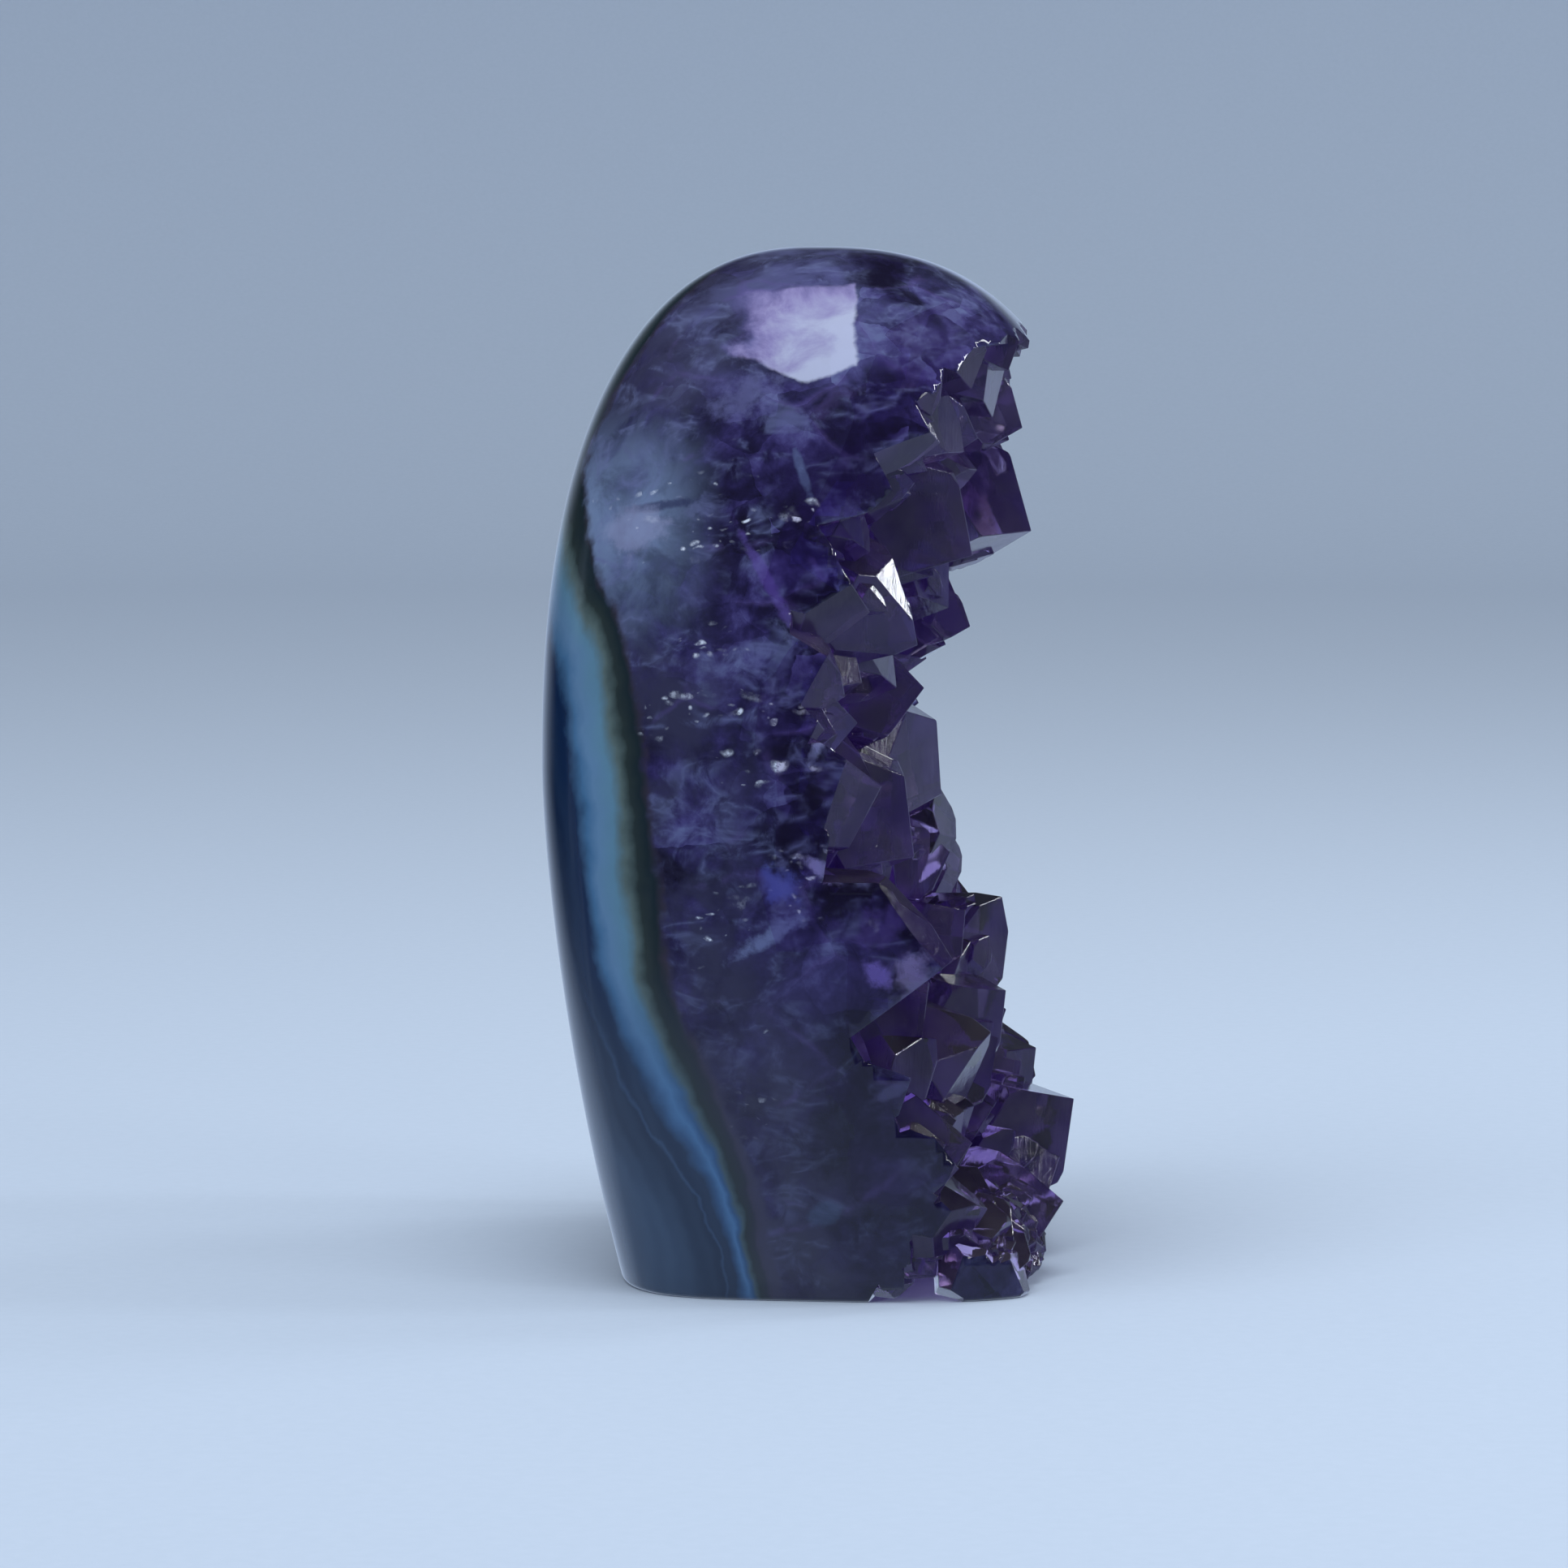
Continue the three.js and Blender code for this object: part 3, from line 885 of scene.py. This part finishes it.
def flecks(scale, rarity, reach):
    """Round to long spots, one in each cell, most of them very small."""
    long_cells = stretched(moved, (0.8, 0.8, 1.5), (0, 0.5, 0))
    cells = node("TexVoronoi", {"Vector": long_cells, "Scale": scale}).outputs
    own = node("SeparateColor", {"Color": cells["Color"]}).outputs
    size = times(maths("POWER", own["Red"], rarity), reach)
    spot = between(maths("SUBTRACT", cells["Distance"], size), 0.1, -0.22)
    return times(spot, own["Green"])


sparkle = between(cloud(place, 2.6, 3, 0.6), 0.4, 0.6, 0.25, 1.0)
dot = times(maths("MAXIMUM", flecks(1.3, 2.4, 0.42), flecks(0.55, 3.4, 0.5)), sparkle)
rows = cloud(stretched(place, (0.10, 0.14, 0.24), (0, 0.35, 0)), 1.0, 3, 0.5)
lit = times(dot, between(plus(rows, strain), 0.5, 0.64))
fill(result, {"Mask": maths("MULTIPLY", lit, 1.7, clamp=True)})

# %% [markdown]
# ## Marks set one by one
#
# Some patches of the quartz's own colour, painted highlights (gleams), painted shade and strained places
# are large enough to know the stone by. Each is a soft oval: its centre, its reach across and up, its turn,
# its colour and its strength. A cloud tears its edge, so that no outline is a true oval. All of them lie
# under the side that the camera sees, and none is an image.

# %% Group: one soft oval mark
oval, (place, centre, reach, turn), result = group(
    "oval mark", dict.fromkeys(("Place", "Centre", "Reach", "Turn"), "Vector"), {"Mask": "Float"})
offset = vector("SUBTRACT", place, centre)
turned = node("VectorRotate", {"Vector": offset, "Rotation": turn}, rotation_type="EULER_XYZ").outputs[0]
length = vector("LENGTH", vector("DIVIDE", turned, reach))
torn = centred(cloud(place, 0.7, 5, 0.65), 1.5)
fill(result, {"Mask": between(plus(length, torn), 1.0, 0.45)})

# %% The marks
MARK_DEPTH = 9
# Partly the quartz's own colour, partly painted highlights and painted shade.
MARKS = [
    ((0.5, -20, 30.2), (2.3, 1.9), 0.3, (84, 92, 168), 0.8),
    ((3.2, -20, 31.3), (2.2, 0.8), -0.6, (140, 138, 190), 0.8),
    ((3.4, -20, 40.7), (0.6, 2.8), -0.5, (126, 134, 170), 0.9),
    ((7.2, -20, 23.9), (1.2, 1.6), 0.5, (118, 106, 184), 0.8),
    ((-9.2, -20, 56.6), (3.4, 0.5), 0.15, (46, 50, 84), 0.75),
    ((1.2, -20, 59.2), (0.5, 2.4), 0.35, (96, 108, 150), 0.8),
    ((-1.0, -20, 51.6), (0.6, 5.0), 0.55, (92, 76, 150), 0.6),
    ((6, -20, 68.5), (1.6, 1.2), 0.4, (92, 104, 146), 0.6),
    ((-9.5, -20, 8.8), (2.6, 0.3), -0.5, (104, 128, 150), 0.5),
    ((-0.3, -20, 26.6), (4.2, 0.9), 0.55, (112, 122, 166), 0.75),
    ((-11, -20, 55), (3.2, 2.2), 0.3, (140, 146, 182), 0.6),
    ((9.8, -20, 23.2), (1.7, 3.2), 0.1, (140, 134, 180), 0.7),
    ((7.2, -20, 27.2), (2.6, 2.0), 0.5, (84, 70, 140), 0.5),
    ((5.5, -20, 12.5), (4.6, 4.6), 0.2, (20, 20, 42), 0.55),
    ((8.5, -20, 15.6), (2.4, 0.6), 0.4, (100, 104, 146), 0.55),
    ((3.4, -20, 6.6), (1.7, 1.0), 0.2, (76, 92, 128), 0.55),
    ((-2.8, -20, 64.6), (4.0, 1.9), 0.45, (98, 100, 146), 0.6),
    ((9.5, -18, 68.5), (4.6, 4.4), 0.5, (46, 36, 88), 0.6),
    ((3.4, -20, 58.5), (4.6, 4.6), 0.3, (34, 26, 66), 0.5),
]
STRAINED = [
    ((-4.6, -20, 42.4), (6.5, 1.8), -0.05), ((-3.2, -20, 26.8), (3.0, 1.1), 0.15),
    ((0.6, -20, 19.8), (2.8, 0.8), 0.2), ((-9, -20, 55.4), (4.4, 1.3), 0),
    ((-2.9, -20, 36.8), (2.0, 1.3), 0),
]
print(len(MARKS), "marks and", len(STRAINED), "strained places")

# %% [markdown]
# ## Massive quartz
#
# Its colour runs from milky by the agate to dark purple by the crystals. One value, made of the angular
# patches and of clouds in three sizes, picks the tone from a row of six. Low down the quartz is calmer, so
# there the value is drawn towards its middle.

# %% Zones of the massive quartz: where each begins and where it is full, in millimetres
NEAR_CRYSTALS = (12, 19)
NEAR_AGATE = (14, 4)
UNDER_CROWN = (60, 67)
CALM = (34, 18)
MILK_FROM_BELOW = (45, 55)
MILK_FROM_ABOVE = (65, 56)
MILK_FROM_FRONT = (-4, -11)
DOME = (62, 70)
DOME_FROM_FRONT = (9, 0)
DOME_FROM_BACK = (-11, -3)
CAMERA_SIDE = (-2, -5)
# where the painted shade near the floor begins and where it is full
LOW_DOWN = (30, 14)
TOWARDS_FRONT = (-3, 9)
GLINTS_FROM_ABOVE = (64, 60)
GLINTS_FROM_BELOW = (11, 18)

# %% Tones of the massive quartz, from dark to pale
MIDDLE_TONE = 0.56
TONES = [(0.24, (24, 21, 42)), (0.40, (31, 27, 58)), (0.52, (41, 36, 76)), (0.64, (54, 48, 96)),
         (0.78, (74, 70, 122)), (0.94, (96, 102, 146))]

# %% Group: colour of the massive quartz, its tone
quartz, (here, deep), result = group("massive quartz", PLACE_AND_DISTANCE, {"Colour": "Color"})
x, y, z = parts_of(here)
wander = node("TexNoise", {"Vector": here, "Scale": 0.3, "Detail": 4.0}).outputs["Color"]
bent = vector("ADD", here, vector("MULTIPLY", wander, (1.8, 1.8, 1.8)))
broad = use(facets, {"Place": bent, "Stretch": (0.085, 0.15, 0.13)})
narrow = use(facets, {"Place": bent, "Stretch": (0.22, 0.36, 0.30)})
clouds = cloud(here, 0.14, 6, 0.56, 0.8)
fog = cloud(here, 0.22, 6, 0.6, 0.4)
mottle = cloud(here, 0.42, 4, 0.6, 0.6)
grain = cloud(here, 0.9, 4, 0.6)
near_crystals = maths("MAXIMUM", between(deep, *NEAR_CRYSTALS), between(z, *UNDER_CROWN, 0, 0.8))
broad_share = between(near_crystals, 0, 1, 0.2, 0.4, smooth=False)
narrow_share = between(near_crystals, 0, 1, 0.17, 0.5, smooth=False)
patches = plus(times(plus(broad["Shade"], -0.5), broad_share),
               times(plus(narrow["Shade"], -0.5), narrow_share))
mass = plus(patches, times(clouds, 1.5), times(mottle, 0.7), times(grain, 0.5), -0.83)
calm = between(z, *CALM)
mass = plus(mass, times(maths("SUBTRACT", MIDDLE_TONE, mass), calm, 0.5))
tone = ramp(mass, TONES)

# %% [markdown]
# Milk is quartz full of fine bubbles: it lies high up at the back, and as a thin haze in the middle of the
# dome under the crown. Close to the agate the purple is greyer. Each of these is a soft zone by place,
# broken up by a cloud so that no zone has an edge that one could follow.

# %% Milk and haze
GREY = linear(54, 54, 80)
MILK = linear(118, 137, 172)
HAZE = linear(92, 96, 140)
MILK_SHARE = 0.92
HAZE_SHARE = 0.6
greyed = blend(times(between(deep, *NEAR_AGATE), between(fog, 0.3, 0.62)), tone, GREY)
high_up = times(between(z, *MILK_FROM_BELOW), between(z, *MILK_FROM_ABOVE))
high_at_back = times(high_up, between(x, *MILK_FROM_FRONT))
milk = times(high_at_back, between(fog, 0.3, 0.56, 0.45, 1.0), MILK_SHARE)
milky = blend(milk, greyed, MILK)
dome_middle = maths("MINIMUM", between(x, *DOME_FROM_FRONT, 0.3, 1.0), between(x, *DOME_FROM_BACK, 0.2, 1.0))
dome = times(between(z, *DOME), dome_middle, between(clouds, 0.36, 0.6), HAZE_SHARE)
hazy = blend(dome, milky, HAZE)

# %% [markdown]
# A healed crack is a thin pale veil. Noise crosses its own middle value along thin winding sheets, so the
# distance from that value gives a veil that is bright at its heart and fades to both sides. The borders of
# the angular patches show as faint lines in places, and then come the marks.

# %% Cracks, borders and marks
cracks = cloud(stretched(here, (0.13, 0.13, 0.26), (0, -0.5, 0)), 1.0, 3, 0.6, 0.5)
from_crack = maths("ABSOLUTE", plus(cracks, -0.5))
wisp = plus(between(from_crack, 0.025, 0.0, 0.0, 0.15),
            between(from_crack, 0.08, 0.0, 0.0, 0.32))
torn = times(wisp, scaled(calm, -0.4, 1.0), between(mottle, 0.42, 0.62))
CRACK = linear(108, 116, 158)
BORDER = linear(92, 80, 140)
BORDER_SHARE = 0.28
cracked = blend(torn, hazy, CRACK)
border = times(broad["Edge"], between(fog, 0.5, 0.62), BORDER_SHARE)
colour = blend(border, cracked, BORDER)


def mark(centre, reach, turn):
    reach = (reach[0], MARK_DEPTH, reach[1])
    return use(oval, {"Place": here, "Centre": centre, "Reach": reach, "Turn": (0, turn, 0)})["Mask"]


# The marks: the quartz's own colour patches, painted highlights and painted shade.
for centre, reach, turn, rgb, strength in MARKS:
    colour = blend(times(mark(centre, reach, turn), strength), colour, linear(*rgb))

# %% [markdown]
# One large pale veil lies under the crown, and it ends at straight edges where crystals cut it off. It is
# what lies on the inner side of five planes, each given by the way that it faces and its distance from the
# middle.

# %% The large veil
VEIL_CENTRE = (0.2, -10.1, 70.3)
VEIL_EDGES = (((1, 0, 0.12), 5.2), ((-1, 0, 0.2), 6.4), ((0, 0, 1), 2.9), ((0.3, 0, -1), 4.6),
              ((-0.4, 0, -1), 3.6))
VEIL_SOFTNESS = 0.35
VEIL_SHARE = 0.85
VEIL_TONES = [(0.25, (92, 82, 150)), (0.55, (150, 142, 192)), (0.85, (188, 194, 222))]
VEIL_BRIGHTENS = (0.075, 0, -0.06)
from_veil = vector("SUBTRACT", bent, VEIL_CENTRE)
veil = between(y, *CAMERA_SIDE)
for way, reach in VEIL_EDGES:
    along = vector("DOT_PRODUCT", from_veil, way)
    veil = times(veil, between(along, reach, reach - VEIL_SOFTNESS))
towards_corner = vector("DOT_PRODUCT", from_veil, VEIL_BRIGHTENS)
brightness = plus(scaled(fog, 1.3, -0.15), towards_corner)
veil = times(veil, between(brightness, 0.12, 0.62), VEIL_SHARE)
veiled = blend(veil, colour, ramp(brightness, VEIL_TONES))

# %% [markdown]
# Low down, and most towards the crystals at the front, the colour is darkened in patches: this is painted
# shade near the floor. The glints, painted highlights, come last, over all the rest, and none show in the
# dome or right above the foot.

# %% Painted shade low down, and painted glints
# Painted shade low down: the share of the colour that is kept there.
PAINTED_SHADE_KEPT = (0.36, 0.38, 0.4, 1)
PAINTED_GLINT_COLOUR = linear(222, 230, 248)
PAINTED_GLINT_SHARE = 0.9
# Painted shade: darker low down and towards the front, standing for shade near the floor.
in_front = between(x, *TOWARDS_FRONT, 0.5, 1.0)
painted_shade_mask = times(between(z, *LOW_DOWN), between(fog, 0.6, 0.38, 0.5, 1.0), in_front)
shade_painted_low = blend(painted_shade_mask, veiled, PAINTED_SHADE_KEPT, "MULTIPLY")
# Painted highlights: white glint spots laid over the colour, more of them where the stone is strained.
strain = 0.0
for centre, reach, turn in STRAINED:
    strain = maths("MAXIMUM", strain, mark(centre, reach, turn))
flash = use(glints, {"Place": here, "Strain": scaled(strain, 0.22, -0.03)})["Mask"]
lit = times(flash, between(z, *GLINTS_FROM_ABOVE), between(z, *GLINTS_FROM_BELOW), PAINTED_GLINT_SHARE)
fill(result, {"Colour": blend(lit, shade_painted_low, PAINTED_GLINT_COLOUR)})
print("the massive quartz is", len(quartz.nodes), "nodes")

# %% [markdown]
# ## Polished stone
#
# The ground back and sides: agate and massive quartz under one high polish. The colour lies in the stone
# and the gloss on it is a thin clear coat, so the two are set apart: a soft base and a sharp coat.
#
# Through the clear crystals one sees this same quartz from inside. A real crystal mass passes light from
# grain to grain until it glows. Tracing that would take far too many samples, so the surface's inner side
# is paler and gives off a faint patchy light of its own, which only the clear crystals let out.

# %% Material: polished stone
IOR_QUARTZ = 1.544
INNER_LIGHT = 0.45
INNER_COLOUR = linear(128, 118, 150)
INNER_GLOW = linear(110, 92, 166)
BASE_ROUGHNESS = 0.35
POLISH_ROUGHNESS = 0.03
NO_LIGHT = (0, 0, 0, 1)


def surface(material):
    material.use_nodes = True
    open_tree(material.node_tree)
    return tree.nodes["Principled BSDF"]


def place_in_beds():
    """What the colour groups ask for: the place in millimetres, and how far it is from the agate's end."""
    place = place_in_mm()
    return {"Place": place, "Distance": use(beds, {"Place": place})["Distance"]}


shader = surface(FINISHES[GROUND])
spot = place_in_beds()
speckle = centred(cloud(spot["Place"], 0.8, 3, 0.5), 1.3)
in_quartz = between(plus(spot["Distance"], speckle), 1.5, 2.4)
outside = blend(in_quartz, use(rind, spot)["Colour"], use(quartz, spot)["Colour"])
from_inside = node("NewGeometry").outputs["Backfacing"]
glow = times(from_inside, between(cloud(spot["Place"], 0.13, 3, 0.6), 0.4, 0.64, 0.12, 1.0))
glow_colour = blend(0.5, outside, INNER_GLOW)
fill(shader, {
    "Base Color": blend(from_inside, outside, INNER_COLOUR),
    "Emission Color": blend(glow, NO_LIGHT, glow_colour),
    "Emission Strength": INNER_LIGHT,
    "Roughness": BASE_ROUGHNESS,
    "Specular IOR Level": 0.0,
    "IOR": IOR_QUARTZ,
    "Coat Weight": 1.0,
    "Coat Roughness": POLISH_ROUGHNESS,
    "Coat IOR": IOR_QUARTZ,
})
print("polished stone:", len(tree.nodes), "nodes")

# %% [markdown]
# ## Clear amethyst
#
# The crystals are clear, and their colour comes from depth: a thin tip is lilac, a thick one nearly black.
# So the purple is in the volume, as an absorption for each metre of path. Colouring only the surface would
# make thin and thick crystals alike.
#
# A few hundredths of the light scatter at the skin, which is what lets one tell one facet from the next,
# and colour zones in a slow cloud tint the faces a little, as they do in real amethyst. Where the wheel cut
# a crystal open, one looks partly into it and partly onto massive quartz.

# %% Materials: clear amethyst, natural and ground
AMETHYST = (0.52, 0.25, 0.75, 1)
DEPTH_PER_METRE = 72
ZONES = [(0.38, (177, 153, 212)), (0.60, (246, 230, 254))]
BRIGHTER = (2.2, 2.0, 2.2, 1)
NATURAL_CLEARNESS = 0.966
GROUND_CLEARNESS = 0.64
NATURAL_ROUGHNESS = 0.03
GROUND_ROUGHNESS = 0.02


def clear_amethyst(material, roughness, clearness):
    shader = surface(material)
    fill(shader, {"Roughness": roughness, "IOR": IOR_QUARTZ, "Transmission Weight": clearness})
    absorb = node("VolumeAbsorption", {"Color": AMETHYST, "Density": DEPTH_PER_METRE})
    tree.links.new(absorb.outputs["Volume"], tree.nodes["Material Output"].inputs["Volume"])
    return shader


shader = clear_amethyst(FINISHES[NATURAL], NATURAL_ROUGHNESS, NATURAL_CLEARNESS)
place = place_in_mm()
growth = cloud(stretched(place, (3.6, 0.5, 0.5)), 1.0, 5, 0.6)
bump = node("Bump", {"Height": growth, "Strength": 0.12, "Distance": 0.2 * mm})
fill(shader, {"Base Color": ramp(cloud(place, 0.17, 5, 0.6), ZONES), "Normal": bump.outputs["Normal"]})

shader = clear_amethyst(FINISHES[GROUND_CLEAR], GROUND_ROUGHNESS, GROUND_CLEARNESS)
quartz_colour = use(quartz, place_in_beds())["Colour"]
fill(shader, {"Base Color": blend(1.0, quartz_colour, BRIGHTER, "MULTIPLY")})
print("amethyst keeps", [round(math.exp(-DEPTH_PER_METRE * (1 - share) / 100), 2) for share in AMETHYST[:3]],
      "of red, green and blue over a centimetre")

# %% [markdown]
# ## The sawn foot
#
# The saw leaves the foot flat and matt, with the beds of the stone paler under the scratches.

# %% Material: sawn foot
shader = surface(FINISHES[SAWN])
spot = place_in_beds()
in_quartz = between(spot["Distance"], 1.9, 2.6)
cut_face = blend(in_quartz, use(rind, spot)["Colour"], use(quartz, spot)["Colour"])
strokes = {"Vector": spot["Place"], "Scale": 1.4, "Distortion": 2.0, "Detail": 4.0}
scratches = node("TexWave", strokes).outputs["Fac"]
bump = node("Bump", {"Height": scratches, "Strength": 0.2, "Distance": 0.05 * mm})
pale = blend(scaled(scratches, 0.15, 0.3), cut_face, linear(150, 152, 168))
fill(shader, {"Base Color": pale, "Roughness": 0.6, "Normal": bump.outputs["Normal"]})

# %% [markdown]
# ## The floor
#
# The stone stands on a pale floor that sweeps up all round it with no corner, as in a light tent. One
# profile spun full circle makes it, so every view has the same quiet backdrop. Gloss and glass don't see
# it: they see the room below instead.

# %% The tent
FLOOR_RADIUS = 900
SWEEP_RADIUS = 400
SWEEP_STEPS = 16
TENT_SEGMENTS = 96


def tent():
    profile = [(0, 0), (FLOOR_RADIUS, 0)]
    for step in range(1, SWEEP_STEPS + 1):
        turn = math.pi / 2 * step / SWEEP_STEPS
        profile.append((FLOOR_RADIUS + SWEEP_RADIUS * math.sin(turn), SWEEP_RADIUS * (1 - math.cos(turn))))
    bm = spun(profile, TENT_SEGMENTS, WELD)
    for face in bm.faces:
        face.smooth = True
    bmesh.ops.scale(bm, vec=(mm, mm, mm), verts=bm.verts)
    return bm


tent_cloth = bpy.data.materials.new("tent_cloth")
floor = object_of(tent(), "tent", [tent_cloth])
floor.location.z = low.z
floor.visible_glossy = False
floor.visible_transmission = False
shader = surface(tent_cloth)
metres = node("TexCoord").outputs["Object"]
threads = cloud(metres, 900.0, 2.0)
cloth = blend(threads, linear(193, 208, 228), linear(199, 213, 233))
fill(shader, {"Base Color": cloth, "Roughness": 0.9})

# %% [markdown]
# ## The room
#
# A glossy or clear stone shows what is around it, so that has to be chosen, not left to the tent. Where one
# looks decides how bright the room is: pale on the floor's side, pale low down behind the stone, dark above
# and on the camera's side, with a few uneven windows. Dark surroundings keep the crystals' faces deep, and
# the few pale parts give them their lit edges. Rays that pass through glass see more of the pale wall
# behind and less of the floor, which is what makes thin crystals at the outline lilac.

# %% The room that gloss and glass see
scene = bpy.context.scene
scene.view_settings.view_transform = "Standard"
world = bpy.data.worlds.new("room")
scene.world = world
world.use_nodes = True
open_tree(world.node_tree)
looked = node("TexCoord").outputs["Generated"]
x, y, z = parts_of(looked)
through_glass = node("LightPath").outputs["Is Transmission Ray"]
to_left = times(maths("MINIMUM", x, 0.0), between(z, -0.08, -0.3, 0.5, -0.4))
to_right = times(maths("MAXIMUM", x, 0.0), 0.35)
backwards = plus(to_left, to_right, y)
low_behind = times(between(backwards, 0.3, 0.95), between(z, 0.42, 0.06))
glass_behind = times(between(backwards, 0.0, 0.7), between(z, 0.9, 0.2), through_glass)
floor_side = times(between(z, -0.06, -0.36, 0.0, 0.7), scaled(through_glass, -0.6, 1.0))
uneven = between(cloud(looked, 1.7, 3, 0.6), 0.5, 0.7, 0.04, 0.34)
windows = times(uneven, between(y, 0.8, 0.2, 0.25, 1.0), scaled(through_glass, 1.8, 1.0))
pale = maths("MAXIMUM", floor_side, maths("MAXIMUM", low_behind, glass_behind))
fill(tree.nodes["Background"], {"Color": linear(178, 197, 226), "Strength": plus(pale, windows)})

# %% [markdown]
# ## Lamps
#
# Two very soft suns light the floor and the matt colour, and they aren't mirrored in the gloss. Disks of
# light give the gloss: each leaves one highlight on a polished side or a few crystal faces. The broad pool
# from above is for the floor, so it isn't mirrored either.

# %% Lamps: kind, azimuth, elevation, distance, size (in degrees for a sun), strength, mirrored
LAMPS = {
    "overhead": ("SUN", 0, 88, 1, 130, 1.02, False),
    "key": ("SUN", -38, 40, 1, 40, 0.6, False),
    "pool": ("AREA", -10, 78, 620, 460, 2.2, False),
    "side": ("AREA", 95, 40, 520, 80, 0.3, True),
    "far side": ("AREA", 128, 18, 520, 60, 0.15, True),
    "low": ("AREA", 74, 8, 520, 40, 0.06, True),
    "front": ("AREA", 120, 46, 560, 100, 0.22, True),
    "front low": ("AREA", 62, 28, 560, 130, 0.2, True),
}
LAMP_COLOUR = (0.93, 0.97, 1.0)
LAMP_AIM = Vector((0, 0, low.z + 38 * mm))


def direction_to(azimuth, elevation):
    turn, rise = math.radians(azimuth), math.radians(elevation)
    return Vector((math.sin(turn) * math.cos(rise), -math.cos(turn) * math.cos(rise), math.sin(rise)))


for name, (kind, azimuth, elevation, away, size, strength, mirrored) in LAMPS.items():
    lamp = bpy.data.lights.new(name, kind)
    lamp.energy, lamp.color = strength, LAMP_COLOUR
    if kind == "SUN":
        lamp.angle = math.radians(size)
    else:
        lamp.shape, lamp.size = "DISK", size * mm
    holder = bpy.data.objects.new(name, lamp)
    scene.collection.objects.link(holder)
    way = direction_to(azimuth, elevation)
    holder.location = LAMP_AIM + way * away * mm
    holder.rotation_euler = way.to_track_quat("Z", "Y").to_euler()
    holder.visible_glossy = mirrored
print(len(LAMPS), "lamps")

# %% Camera
AZIMUTH, ELEVATION = 7, 5
CAMERA_DISTANCE = 463
HALF_FRAME = 58.2
AIM_LEFT, AIM_HEIGHT = 2.35, 35.25
rightwards = Vector((math.cos(math.radians(AZIMUTH)), math.sin(math.radians(AZIMUTH)), 0))
to_camera = direction_to(AZIMUTH, ELEVATION)
camera = bpy.data.objects.new("camera", bpy.data.cameras.new("camera"))
scene.collection.objects.link(camera)
aim = rightwards * -AIM_LEFT * mm + Vector((0, 0, low.z + AIM_HEIGHT * mm))
camera.location = aim + to_camera * CAMERA_DISTANCE * mm
camera.rotation_euler = to_camera.to_track_quat("Z", "Y").to_euler()
camera.data.angle = 2 * math.atan(HALF_FRAME / CAMERA_DISTANCE)
camera.data.clip_start = 0.01
scene.camera = camera
print("the camera is", round(CAMERA_DISTANCE * mm, 3), "m away")
